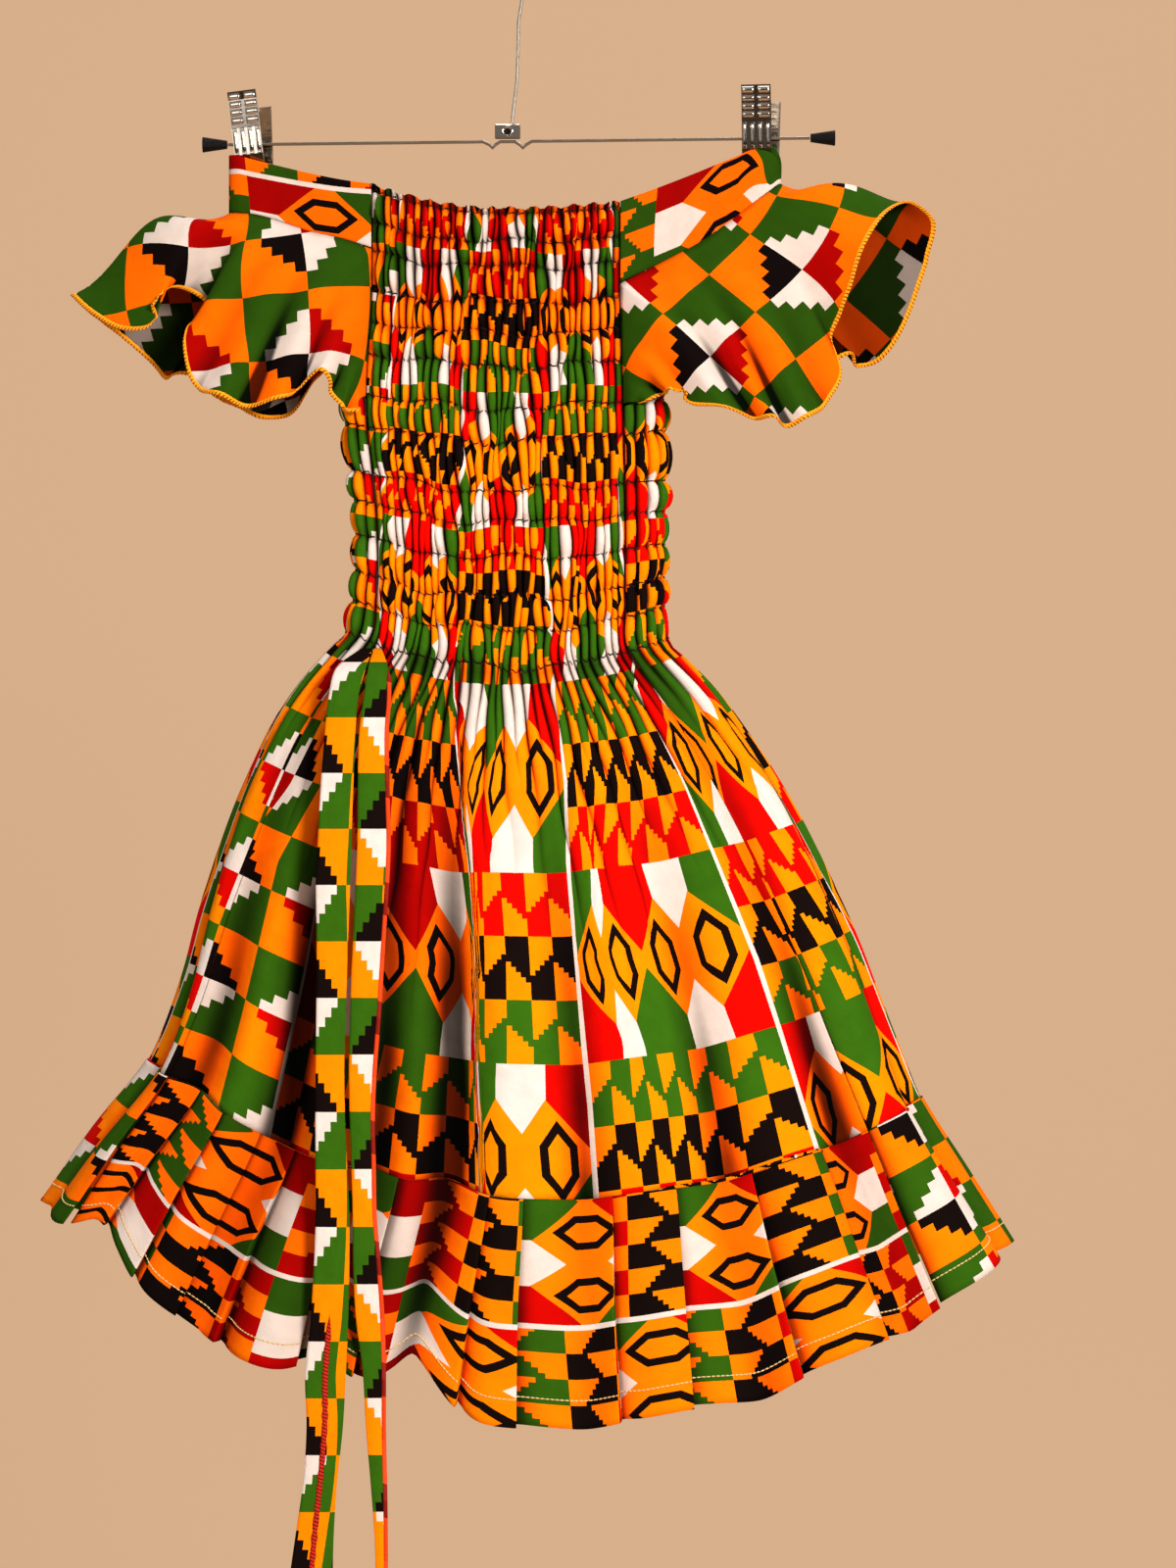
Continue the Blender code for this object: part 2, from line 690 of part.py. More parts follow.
def add_hanger():
    left = [(-160.6, 0, bar_height(-160.6)), (-20, 0, bar_height(-20)), (-16.4, 0, -2.6), (-14.8, 0, -4.4)]
    middle = [(-13.2, 0, -2.6), (-10.5, 0, -0.9), (-2.5, 0, -0.9), (0.4, 0, -2.6), (2, 0, -4.4)]
    right = [(3.6, 0, -2.6), (7, 0, bar_height(7)), (160, 0, bar_height(160))]
    add_wire("hanger_bar", left + middle + right, WIRE_RADIUS)
    add_box("bracket", (-13.5, -1.6, 0.5), (0.5, 1.6, 8.6), "chrome")
    add_hook()
    for side, name in ((-1, "cap_left"), (1, "cap_right")):
        add_cap(name, side)


def add_hook():
    # Neck from the bracket, a lean to the right, then the bend over the rail and a short open end.
    top = -BAR_HEIGHT
    radius = HOOK_INNER_RADIUS + WIRE_RADIUS
    centre = top - HOOK_INNER_RADIUS
    neck = [(-4.2, 8.9), (-3.2, 18), (-1.4, 32), (-0.8, 48), (-0.4, 66), (1.6, 78), (7.5, 87), (15.5, 95)]
    points = [(x, 0, z) for x, z in neck]
    for degrees in range(-12, 193, 12):
        turn = math.radians(degrees)
        points.append((radius * math.cos(turn), 0, centre + radius * math.sin(turn)))
    add_wire("hook", points, WIRE_RADIUS)


def add_cap(name, side):
    # A cone of black rubber, wider at the outer end.
    x = -161 if side < 0 else 160.4
    mesh = bpy.data.meshes.new(name)
    shape = bmesh.new()
    inner, outer = CAP_RADII
    bmesh.ops.create_cone(shape, cap_ends=True, segments=14, radius1=inner * MM, radius2=outer * MM,
                          depth=CAP_LENGTH * MM)
    for vertex in shape.verts:
        across, back, length = vertex.co
        vertex.co = (x * MM + side * (length + CAP_LENGTH / 2 * MM), back,
                     across + (bar_height(x) + BAR_HEIGHT) * MM)
    shape.normal_update()
    bmesh.ops.recalc_face_normals(shape, faces=shape.faces[:])
    shape.to_mesh(mesh)
    shape.free()
    add_object(name, mesh, "black_rubber")


def clip_place(x, tilt, yaw, u, y, z):
    # A point of a clip, given across, behind and above the middle of its coil.
    lean = math.radians(tilt)
    turn = math.radians(yaw)
    across = u * math.cos(lean) - z * math.sin(lean)
    height = z * math.cos(lean) + u * math.sin(lean)
    side = x + across * math.cos(turn) + y * math.sin(turn)
    back = y * math.cos(turn) - across * math.sin(turn)
    return side * MM, back * MM, (bar_height(x) + height + BAR_HEIGHT) * MM


def jaw_depth(height):
    # Depth of a jaw's inner face, from its open top past the coil to the gripping lip.
    heights = (-22, -19, -14, -4, 1, 5, 24, 28.5)
    depths = (1.05, 1.05, 2.2, 4.4, 4.4, 5.0, 7.4, 8.4)
    return float(np.interp(height, heights, depths))


def add_jaw(name, x, tilt, yaw, facing, slide=0.0):
    # facing is -1 for the front jaw and 1 for the shorter back one. Only the front jaw is ribbed.
    ribbed = facing < 0
    columns = JAW_COLUMNS if ribbed else (-CLIP_WIDTH / 2, CLIP_WIDTH / 2)
    heights = JAW_HEIGHTS if ribbed else BACK_JAW_HEIGHTS
    shape = bmesh.new()
    layers = []
    for sheet, places in ((0.0, (columns[0], columns[-1])), (JAW_SHEET, columns)):
        layers.append([[shape.verts.new((u, facing * (jaw_depth(z) + sheet), z)) for u in places]
                       for z in heights])
    inner, outer = layers
    ribs = []
    for r in range(len(heights) - 1):
        shape.faces.new((inner[r][0], inner[r][1], inner[r + 1][1], inner[r + 1][0]))
        shape.faces.new((inner[r][0], inner[r + 1][0], outer[r + 1][0], outer[r][0]))
        shape.faces.new((inner[r][1], outer[r][-1], outer[r + 1][-1], inner[r + 1][1]))
        for c in range(len(columns) - 1):
            face = shape.faces.new((outer[r][c], outer[r + 1][c], outer[r + 1][c + 1], outer[r][c + 1]))
            pill = r in PILL_ROWS and c in PILL_COLUMNS
            if ribbed and (pill or r == LONG_RIB_ROW and c in LONG_RIB_COLUMNS):
                ribs.append(face)
    for r in (0, -1):
        for left, right in zip(outer[r], outer[r][1:] + [inner[r][1]]):
            shape.faces.new((inner[r][0], left, right))
    shape.normal_update()
    bmesh.ops.recalc_face_normals(shape, faces=shape.faces[:])
    if ribbed:
        bmesh.ops.inset_region(shape, faces=ribs, thickness=0.5, depth=0.7, use_even_offset=True)
    for vertex in shape.verts:
        vertex.co = clip_place(x, tilt, yaw, vertex.co[0] + slide, vertex.co[1], vertex.co[2])
    mesh = bpy.data.meshes.new(name)
    shape.to_mesh(mesh)
    shape.free()
    add_object(name, mesh, "chrome", 25)


def add_spring(name, x, tilt, yaw):
    # The coil that sits on the bar between the jaws, as a plain sleeve.
    mesh = bpy.data.meshes.new(name)
    shape = bmesh.new()
    sides = 12
    rings = []
    for u in (-SPRING_LENGTH / 2, SPRING_LENGTH / 2):
        for radius in (SPRING_BORE, SPRING_RADIUS):
            points = []
            for step in range(sides):
                turn = 2 * math.pi * step / sides
                place = clip_place(x, tilt, yaw, u, radius * math.cos(turn), radius * math.sin(turn))
                points.append(shape.verts.new(place))
            rings.append(points)
    near_bore, near_skin, far_bore, far_skin = rings
    for pair in ((near_bore, near_skin), (near_skin, far_skin), (far_skin, far_bore), (far_bore, near_bore)):
        for step in range(sides):
            after = (step + 1) % sides
            shape.faces.new((pair[0][step], pair[0][after], pair[1][after], pair[1][step]))
    bmesh.ops.recalc_face_normals(shape, faces=shape.faces[:])
    shape.to_mesh(mesh)
    shape.free()
    add_object(name, mesh, "chrome")


def add_clip(side, x, tilt, yaw, slide):
    add_jaw(f"clip_{side}_front", x, tilt, yaw, -1)
    add_jaw(f"clip_{side}_back", x, tilt, yaw, 1, slide)
    add_spring(f"clip_{side}_spring", x, tilt, yaw)


def clear_scene():
    for thing in list(bpy.data.objects):
        bpy.data.objects.remove(thing, do_unlink=True)


def build():
    clear_scene()
    front = body_panel(front_limits, FRONT_PUFFS, FRONT_SKIRT_COLUMNS, pleat_columns(FRONT_PLEATS)[0])
    back = body_panel(back_limits, BACK_PUFFS, BACK_SKIRT_COLUMNS, pleat_columns(BACK_PLEATS)[0])
    add_cloth("front_body", wall_mesh(*front), "smocked_print")
    add_cloth("back_body", wall_mesh(*back), "smocked_print")
    hem_front = pleated_tier(front_limits, FRONT_PLEATS)
    add_cloth("hem_front", hem_front, "tier_print")
    add_cloth("hem_back", pleated_tier(back_limits, BACK_PLEATS), "tier_print")

    for name, side, band, flounce, depth_down, columns in (
        ("left", -1, LEFT_BAND, LEFT_FLOUNCE, 32, 56),
        ("right", 1, RIGHT_BAND, RIGHT_FLOUNCE, 45, 50),
    ):
        front_edge = panel_edge(front_limits, side, 0.3)
        back_edge = panel_edge(back_limits, -side, 0.7)
        add_cloth(f"band_{name}", band_mesh(band, side, front_edge, back_edge, depth_down), "band_print")
        path = armhole_path(band, side, front_edge, back_edge, depth_down)
        add_cloth(f"flounce_{name}", flounce_mesh(flounce, side, path, columns), "flounce_print")

    skin = np.vstack([row[0] for row in front[0] + back[0]] + [np.array(hem_front[0])])
    add_cloth("tie_left", sheet_mesh(tie_grid(LEFT_TIE, skin, 3.6), TIE_WALL), "tie_print")
    add_cloth("tie_right", sheet_mesh(tie_grid(RIGHT_TIE, skin, 2.0), TIE_WALL), "tie_print")

    add_hanger()
    add_clip("left", -147.9, 4.7, 16, 2.6)
    add_clip("right", 131.6, -0.5, 12, 3.0)


build()
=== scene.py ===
import math

import bpy
import numpy as np
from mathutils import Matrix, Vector


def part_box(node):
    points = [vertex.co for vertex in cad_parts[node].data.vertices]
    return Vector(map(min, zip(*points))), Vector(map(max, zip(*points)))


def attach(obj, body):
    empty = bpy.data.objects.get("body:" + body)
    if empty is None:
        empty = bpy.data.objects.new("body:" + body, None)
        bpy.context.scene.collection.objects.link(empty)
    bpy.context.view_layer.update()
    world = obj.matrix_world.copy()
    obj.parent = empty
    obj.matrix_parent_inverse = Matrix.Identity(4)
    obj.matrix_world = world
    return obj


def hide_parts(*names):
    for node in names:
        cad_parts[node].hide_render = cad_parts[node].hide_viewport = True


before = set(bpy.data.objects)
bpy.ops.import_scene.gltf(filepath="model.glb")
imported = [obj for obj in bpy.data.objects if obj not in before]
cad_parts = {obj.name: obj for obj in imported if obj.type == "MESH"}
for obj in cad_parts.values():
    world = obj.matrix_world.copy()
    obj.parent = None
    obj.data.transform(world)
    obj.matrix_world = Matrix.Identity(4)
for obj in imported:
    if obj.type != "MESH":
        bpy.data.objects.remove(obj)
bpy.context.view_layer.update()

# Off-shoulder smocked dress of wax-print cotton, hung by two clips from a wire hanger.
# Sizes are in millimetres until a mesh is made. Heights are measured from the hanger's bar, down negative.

mm = 0.001
barHeight = -125.0

dress = {
    "neckToWaist": 252.0,  # levels, measured down from the neckline
    "neckToTier": 537.0,
    "neckToHem": 652.0,
    "underarmDown": 112.0,
    "backArmholeEnd": 52.0,
    "seamGap": 0.3,
    "clothWall": 0.7,      # drawn about twice as thick as the cotton, so that its edges show
    "foldCrest": 5.0,      # how far cloth between two long folds stands out
    "liftStart": 332.0,    # the level below which the folds lift the hem
    "backWidth": 774.0,    # the back panel's cut width, the same from neckline to tier
}
viewer = {
    "x": 37.8,             # where the camera stands
    "distance": 2500.0,
    "z": -354.8,
    "pixel": 0.54,         # millimetres that a pixel of its picture covers
    "pixelsHigh": 1600,
    "barX": 530.0,         # the pixel on which the bar's middle shows
    "barY": 143.0,
}


def table(names, *rows):
    return {name: np.array(column, float) for name, column in zip(names.split(), zip(*rows))}


# One row for each level of the dress. Seam angles run from the right side (0) over the front (90) to the
# left.
sections = table(
    "down xLeft xRight yFront yBack zFront zLeft zRight zBack seamLeft seamRight",
    (0, -92, 76, -16, 14, -40, -21, -32, -37, 150.5, 41),
    (60, -92, 76, -22, 18, -99, -88, -92, -95, 150.5, 41),
    (112, -95, 78, -26, 22, -151, -140, -144, -145, 150.5, 41),
    (180, -89, 78.5, -26, 22, -219, -205, -210, -212, 150.0, 41),
    (225, -89.5, 78.5, -26, 22, -264, -247, -252, -257, 149.5, 41),
    (252, -94.5, 81, -27, 24, -291, -271, -276, -284, 149.0, 41),
    (262, -102, 89, -30, 27, -301, -279, -285, -293, 149.0, 41),
    (280, -116, 104, -36, 32, -319, -295, -301, -309, 150.0, 40),
    (309, -133, 124, -44, 39, -348, -318, -327, -335, 151.0, 39),
    (352, -151, 148, -54, 48, -391, -354, -365, -374, 153.0, 37),
    (394, -164, 167, -63, 57, -433, -389, -402, -412, 155.0, 35),
    (437, -175, 184, -71, 64, -476, -425, -440, -450, 157.0, 33),
    (480, -184, 198, -78, 71, -519, -461, -478, -489, 158.5, 31.5),
    (537, -202, 218, -86, 78, -576, -508, -529, -540, 160.0, 30),
    (595, -231, 240, -95, 88, -635, -549, -570, -594, 160.0, 30),
    (652, -257, 263, -104, 97, -694, -589, -612, -648, 160.0, 30),
)

# Long folds of the skirt, as hollows: angle round the dress, width, depth and lift at the hem.
skirtFolds = table(
    "angle width depth lift",
    (8, 7, 12, 4),
    (36, 7, 14, -5),
    (60, 6, 12, -6),
    (82, 5, 10, -2),
    (103, 5, 22, 34),
    (114, 4.5, 14, 20),
    (132, 6, 22, 2),
    (151, 8, 12, 24),
    (172, 7, 12, 6),
    (196, 8, 12, 2),
    (221, 8, 15, 2),
    (247, 6, 14, 3),
    (268, 6, 20, 2),
    (291, 6, 14, 0),
    (315, 7, 18, 3),
    (342, 7, 14, 2),
)

# Shoulder bands, from the front panel round the shoulder end to the back panel.
leftBand = table(
    "x y top bottom",
    (-98, -10, -23, -55),
    (-116, -9.5, -19.3, -51),
    (-135, -9.3, -14.8, -44.5),
    (-148, -8.8, -11.5, -41.5),
    (-155.5, -7.4, -9.3, -40.8),
    (-158.6, -5.0, -9, -40.5),
    (-159.6, -1.6, -9, -40.5),
    (-159.4, 1.4, -9, -40.5),
    (-157.6, 2.9, -9.3, -41),
    (-154.1, 1.8, -10.2, -41.6),
    (-135.4, -3.6, -14.2, -45),
    (-129, -2.6, -15.8, -47),
    (-118, 3.4, -18.6, -50.6),
    (-103, 8, -22, -54),
)
rightBand = table(
    "x y top bottom",
    (75, -10, -28, -70),
    (98, -9.5, -19, -58),
    (118, -9, -10.8, -44),
    (130, -8.8, -6.4, -34.5),
    (138.6, -8, -8.4, -28),
    (142.2, -6.4, -12.4, -25.2),
    (143.8, -4.2, -15.5, -24.6),
    (143.2, -2.5, -9, -25),
    (139.4, -1.8, -3.4, -28),
    (122.8, 1.8, -9.5, -40),
    (104, 4, -17, -54),
    (85, 8, -25, -65),
)

# Free edges of the flounces, from the front underarm round the shoulder to the back underarm.
# lift is how far the cloth bulges out over the straight line.
leftFlounce = table(
    "along x y z lift",
    (0.000, -88, -20, -151, 0),
    (0.050, -98, -27, -150, 1),
    (0.105, -101, -30, -138, 3),
    (0.165, -110, -30, -131, 4),
    (0.220, -119, -34, -139, 5),
    (0.260, -128, -37, -146, 6),
    (0.300, -146, -38, -149, 7),
    (0.340, -162, -38, -145, 8),
    (0.370, -174, -36, -139, 9),
    (0.392, -180, -30, -130, 9),
    (0.408, -181, -24, -115, 8),
    (0.420, -175, -18, -104, 7),
    (0.430, -168, -9, -98, 7),
    (0.438, -171, -4, -91, 8),
    (0.446, -180, -8, -85, 9),
    (0.453, -188, -18, -85, 11),
    (0.459, -193, -26, -91, 15),
    (0.465, -199, -31, -100, 17),
    (0.472, -208, -31, -105, 19),
    (0.478, -222, -24, -103, 21),
    (0.483, -236, -13, -94, 22),
    (0.490, -247, 0, -84, 22),
    (0.500, -241, 13, -91, 21),
    (0.520, -223, 23, -106, 18),
    (0.545, -207, 29, -120, 13),
    (0.570, -198, 30, -128, 8),
    (0.610, -185, 24, -127, 7),
    (0.650, -171, 19, -138, 6),
    (0.700, -156, 24, -146, 5),
    (0.790, -131, 26, -151, 3),
    (0.890, -114, 20, -130, 2),
    (1.000, -104, 12, -118, 0),
)
rightFlounce = table(
    "along x y z lift",
    (0.000, 67, -20, -146, 0),
    (0.050, 77, -27, -143, 2),
    (0.105, 86, -33, -140, 4),
    (0.160, 94, -38, -146, 5),
    (0.215, 111, -39, -152, 6),
    (0.265, 127, -40, -155, 7),
    (0.315, 140, -40, -158, 8),
    (0.355, 151, -38, -159, 8),
    (0.390, 162, -34, -153, 8),
    (0.415, 171, -26, -143, 8),
    (0.432, 177, -18, -128, 7),
    (0.444, 171, -12, -111, 7),
    (0.454, 177, -16, -97, 8),
    (0.463, 183, -22, -82, 10),
    (0.471, 190, -26, -61, 11),
    (0.478, 201, -20, -45, 11),
    (0.485, 215, -10, -38, 11),
    (0.492, 228, 2, -44, 11),
    (0.502, 226, 12, -62, 11),
    (0.515, 221, 16, -78, 10),
    (0.535, 212, 20, -101, 9),
    (0.560, 201, 22, -118, 8),
    (0.590, 191, 20, -122, 7),
    (0.620, 182, 14, -118, 6),
    (0.655, 170, 12, -123, 5),
    (0.700, 154, 20, -133, 4),
    (0.780, 130, 24, -137, 3),
    (0.880, 110, 20, -136, 2),
    (1.000, 93, 12, -126, 0),
)

# Tie strips from the left side seam at the waist: both edges and height.
leftTie = table(
    "z left right",
    (-281, -86, -80),
    (-290, -98, -82),
    (-310, -103, -87),
    (-355, -106, -88.5),
    (-410, -108, -89.5),
    (-440, -107, -90.5),
    (-515, -107, -92),
    (-590, -106, -88),
    (-632, -108, -88.5),
    (-666, -111.5, -90),
    (-702, -110.5, -92),
    (-738, -114, -96.4),
    (-770, -120, -96.5),
    (-782, -121, -97),
)
rightTie = table(
    "z left right",
    (-281, -79, -75),
    (-296, -82, -69),
    (-330, -86, -71),
    (-392, -86, -69),
    (-455, -88.5, -72.5),
    (-500, -89.5, -75),
    (-515, -89.5, -77),
    (-585, -86.5, -75),
    (-627, -86, -71),
    (-666, -81, -70),
    (-702, -79, -70),
    (-738, -75.5, -69),
    (-770, -74, -69),
    (-782, -74, -69),
)

shirringRows = (3, 19, 33, 53, 70, 88, 111, 129, 156, 173, 193, 214, 232, 252)

# shape helpers

def curve(at, knots, values):
    # Smooth curve through the values: a cubic between each two knots.
    slopes = np.gradient(values, knots)
    first = np.clip(np.searchsorted(knots, at, side="right") - 1, 0, len(knots) - 2)
    span = knots[first + 1] - knots[first]
    t = (at - knots[first]) / span
    start = values[first] * (1 + 2 * t) * (1 - t) ** 2 + slopes[first] * span * t * (1 - t) ** 2
    end = values[first + 1] * t ** 2 * (3 - 2 * t) + slopes[first + 1] * span * t ** 2 * (t - 1)
    return start + end


def section(name, down):
    return curve(np.asarray(down, float), sections["down"], sections[name])


def ease(low, high, value):
    t = np.clip((value - low) / (high - low), 0, 1)
    return t * t * (3 - 2 * t)


def unit(vectors):
    return vectors / np.maximum(np.linalg.norm(vectors, axis=-1, keepdims=True), 1e-9)


def uneven(row, column):
    # A fixed, uneven number from 0 to 1 for each pair.
    return (np.sin(row * 12.9898 + column * 78.233) * 43758.5453) % 1


def ring(angle, down):
    # A flattened oval at each level. Its middle hangs lower than its sides.
    turn = np.radians(angle)
    middle = (section("xLeft", down) + section("xRight", down)) / 2
    half = (section("xRight", down) - section("xLeft", down)) / 2
    sine = np.sin(turn)
    depth = np.where(sine > 0, section("yFront", down), section("yBack", down))
    x = middle + half * np.cos(turn)
    y = depth * np.abs(sine) ** 0.8
    centre = np.where(sine > 0, section("zFront", down), section("zBack", down))
    side = np.where(np.cos(turn) < 0, section("zLeft", down), section("zRight", down))
    z = centre + (side - centre) * np.cos(turn) ** 2
    return np.stack([x, y, z], axis=-1)


def frontLimits(down):
    return section("seamLeft", down), section("seamRight", down)


def backLimits(down):
    # Above the underarm the back panel's edges leave the side seams and run to the back.
    climb = np.clip(1 - down / dress["underarmDown"], 0, 1) ** 0.6
    left = section("seamLeft", down)
    right = section("seamRight", down)
    return 360 + right - 2 * right * climb, left + 2 * (180 - left) * climb


def skirtShape(angle, down):
    # Outward push of the long folds, and the lift of the cloth at each.
    hang = ease(dress["neckToWaist"] - 5, dress["neckToTier"], down)
    low = np.clip((down - dress["liftStart"]) / (dress["neckToHem"] - dress["liftStart"]), 0, 1) ** 3
    push = dress["foldCrest"] * hang
    lift = np.zeros_like(push)
    for centre, width, depth, rise in zip(*skirtFolds.values()):
        away = (angle - centre + 180) % 360 - 180
        hollow = np.exp(-(away / width) ** 2)
        push = push - depth * hollow * hang
        lift = lift + rise * hollow * low
    return push, lift


def facing(surface, angle, down):
    # Outward direction of a surface given as a function of angle and level.
    right = surface(angle - 0.3, down) - surface(angle + 0.3, down)
    fall = surface(angle, down + 0.5) - surface(angle, down - 0.5)
    return unit(np.cross(fall, right))


def bodySurface(angle, down):
    push, lift = skirtShape(angle, down)
    points = ring(angle, down) + facing(ring, angle, down) * push[..., None]
    points[..., 2] += lift
    return points


def outward(grid):
    return unit(np.cross(np.gradient(grid, axis=0), np.gradient(grid, axis=1)))


def seenAt(points):
    # Where points show in the picture, in its pixels, 1200 wide.
    reach = 1 + points[..., 1] / viewer["distance"]
    x = viewer["x"] + (points[..., 0] - viewer["x"]) / reach
    z = viewer["z"] + (points[..., 2] - viewer["z"]) / reach
    return viewer["barX"] + x / viewer["pixel"], viewer["barY"] - z / viewer["pixel"]


def panelAngles(limits, down, across):
    # Angle at each fraction across a panel, spaced evenly along the cloth.
    first, last = limits(down)
    fine = np.linspace(first, last, 241)
    points = ring(fine, np.full(fine.shape, float(down)))
    steps = np.linalg.norm(np.diff(points, axis=0), axis=1)
    length = np.concatenate([[0], np.cumsum(steps)])
    edge = dress["seamGap"] / 2
    return np.interp(edge + across * (length[-1] - 2 * edge), length, fine)


def bodyGrid(limits, levels, across):
    across = np.broadcast_to(across, (len(levels), np.shape(across)[-1]))
    angle = np.array([panelAngles(limits, down, row) for down, row in zip(levels, across)])
    down = np.repeat(np.array(levels, float)[:, None], across.shape[1], axis=1)
    return bodySurface(angle, down), facing(bodySurface, angle, down), angle


def between(at, knots, points):
    # Points at the places asked for, straight between each two knots.
    return np.stack([np.interp(at, knots, column) for column in points.T], axis=1)


def sameWay(path, axis):
    # One direction for every point of a path: to the right for axis 0, up for axis 2.
    side = np.zeros_like(path)
    side[:, axis] = 1
    return side


def fromBar(box):
    # The low and the high corner of a box, in millimetres from the bar.
    return (np.array(corner) / mm - (0, 0, barHeight) for corner in box)


def alongLength(points):
    # Running length along the last but one axis of a list of points.
    steps = np.linalg.norm(np.diff(points, axis=-2), axis=-1)
    return np.concatenate([np.zeros(steps.shape[:-1] + (1,)), np.cumsum(steps, axis=-1)], axis=-1)


# meshes

def addMesh(name, points, faces, material, place=None, wall=0.0, smooth=True, fold=None, inside=None):
    # points are N x 3 in millimetres from the bar, faces a whole number array, place a UV and fold a
    # number for each point, the mask of the painted shade.
    points = (np.asarray(points, float) + (0, 0, barHeight)) * mm
    faces = np.asarray(faces, np.int32)
    mesh = bpy.data.meshes.new(name)
    mesh.vertices.add(len(points))
    mesh.vertices.foreach_set("co", points.ravel())
    sides = faces.shape[1]
    mesh.loops.add(faces.size)
    mesh.loops.foreach_set("vertex_index", faces.ravel())
    mesh.polygons.add(len(faces))
    mesh.polygons.foreach_set("loop_start", np.arange(0, faces.size, sides, dtype=np.int32))
    if place is not None:
        layer = mesh.uv_layers.new(name="cloth")
        layer.data.foreach_set("uv", np.asarray(place, float).reshape(-1, 2)[faces.ravel()].ravel())
    if fold is not None:
        layer = mesh.attributes.new("fold", "FLOAT", "POINT")
        layer.data.foreach_set("value", np.asarray(fold, np.float32).ravel())
    mesh.update()
    mesh.validate()
    if smooth:
        mesh.shade_smooth()
    mesh.materials.append(material)
    thing = bpy.data.objects.new(name, mesh)
    bpy.context.scene.collection.objects.link(thing)
    if wall:
        shell = thing.modifiers.new("wall", "SOLIDIFY")
        shell.thickness = wall * mm
        shell.offset = 0
        if inside:
            mesh.materials.append(inside)
            shell.material_offset = 1
    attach(thing, "root")
    return thing


def gridFaces(rows, columns):
    # Four-sided faces of a grid whose rows run downward and columns to the right, seen from outside.
    corner = (np.arange(rows - 1)[:, None] * columns + np.arange(columns - 1)[None, :]).ravel()
    return np.stack([corner, corner + columns, corner + columns + 1, corner + 1], axis=1)


def standing(grid, half, flip):
    # How far the cloth stands out from its running mean along each row, half columns to each side.
    half = min(half, grid.shape[1] - 1)
    padded = np.pad(grid, ((0, 0), (half, half), (0, 0)), mode="reflect", reflect_type="odd")
    total = np.cumsum(np.pad(padded, ((0, 0), (1, 0), (0, 0))), axis=1)
    mean = (total[:, 2 * half + 1:] - total[:, :-2 * half - 1]) / (2 * half + 1)
    return ((grid - mean) * outward(mean)).sum(axis=-1) * (-1 if flip else 1)


def addCloth(name, grid, place, material, flip=False, near=4, far=20, folds=(2.2, 9.0), depth=1.0,
             inside=None):
    # Fold, the mask of the painted shade, is 0.5 on flat cloth, towards 1 on a crest and 0 in a hollow, small
    # and large folds together: near and far are how many columns each is told by, and folds how high each
    # stands. depth scales it, for deeper painted shade.
    rows, columns = grid.shape[:2]
    faces = gridFaces(rows, columns)
    if flip:
        faces = faces[:, ::-1]
    fold = 0.5 + 0.5 * standing(grid, near, flip) / folds[0] + 0.5 * standing(grid, far, flip) / folds[1]
    steps = np.cross(grid[1:, :-1] - grid[:-1, :-1], grid[:-1, 1:] - grid[:-1, :-1])
    print(name, "shows", round(float(np.linalg.norm(steps, axis=-1).sum()) * 1e-6, 4), "square metres")
    return addMesh(name, grid.reshape(-1, 3), faces, material, place.reshape(-1, 2) * mm, dress["clothWall"],
                   fold=np.clip(fold * depth, 0, 1), inside=inside)


def tubeMesh(path, side, out, halfWidth, halfHeight, sides=6):
    # A closed oval tube round a path, from its two cross directions: path + side cos + out sin. Its UV is
    # the length along the path and the way round it.
    turn = np.linspace(0, 2 * math.pi, sides, endpoint=False)
    around = (side[:, None, :] * (np.cos(turn)[None, :, None] * np.reshape(halfWidth, (-1, 1, 1)))
              + out[:, None, :] * (np.sin(turn)[None, :, None] * np.reshape(halfHeight, (-1, 1, 1))))
    points = (path[:, None, :] + around).reshape(-1, 3)
    corner = (np.arange(len(path) - 1)[:, None] * sides + np.arange(sides)[None, :]).ravel()
    after = (np.arange(len(path) - 1)[:, None] * sides + (np.arange(sides)[None, :] + 1) % sides).ravel()
    faces = np.stack([corner, after, after + sides, corner + sides], axis=1)
    # v is 0 on the side that side points to, and grows to both flanks.
    place = np.stack([np.repeat(alongLength(path)[:, None], sides, axis=1),
                      np.tile((1 - np.cos(turn)) * np.max(halfWidth), (len(path), 1))], axis=-1)
    return points, faces, place.reshape(-1, 2) * mm


# materials

def linear(code):
    # An sRGB hex colour as linear RGBA.
    values = np.array([int(code[i:i + 2], 16) for i in (1, 3, 5)]) / 255
    values = np.where(values <= 0.04045, values / 12.92, ((values + 0.055) / 1.055) ** 2.4)
    return (*values, 1.0)


def addNode(tree, kind, settings=None, inputs=None):
    # Adds a node with its settings and its inputs, as sockets to link or values. Gives its first live output.
    node = tree.nodes.new(kind)
    for key, value in (settings or {}).items():
        setattr(node, key, value)
    for key, value in (inputs or {}).items():
        if isinstance(value, bpy.types.NodeSocket):
            tree.links.new(value, node.inputs[key])
        else:
            node.inputs[key].default_value = value
    return next((socket for socket in node.outputs if socket.enabled), node)


# Each colour twice: deep, as painted shade in a fold, and in full painted light.
shadedAndLitPrintColours = {
    "orange": ("#F04E00", "#FF9400"),
    "red": ("#6A0000", "#EE0600"),
    "green": ("#1C3404", "#366A0E"),
    "black": ("#080404", "#140A08"),
    "cream": ("#CFBDB3", "#E6DCD7"),
}

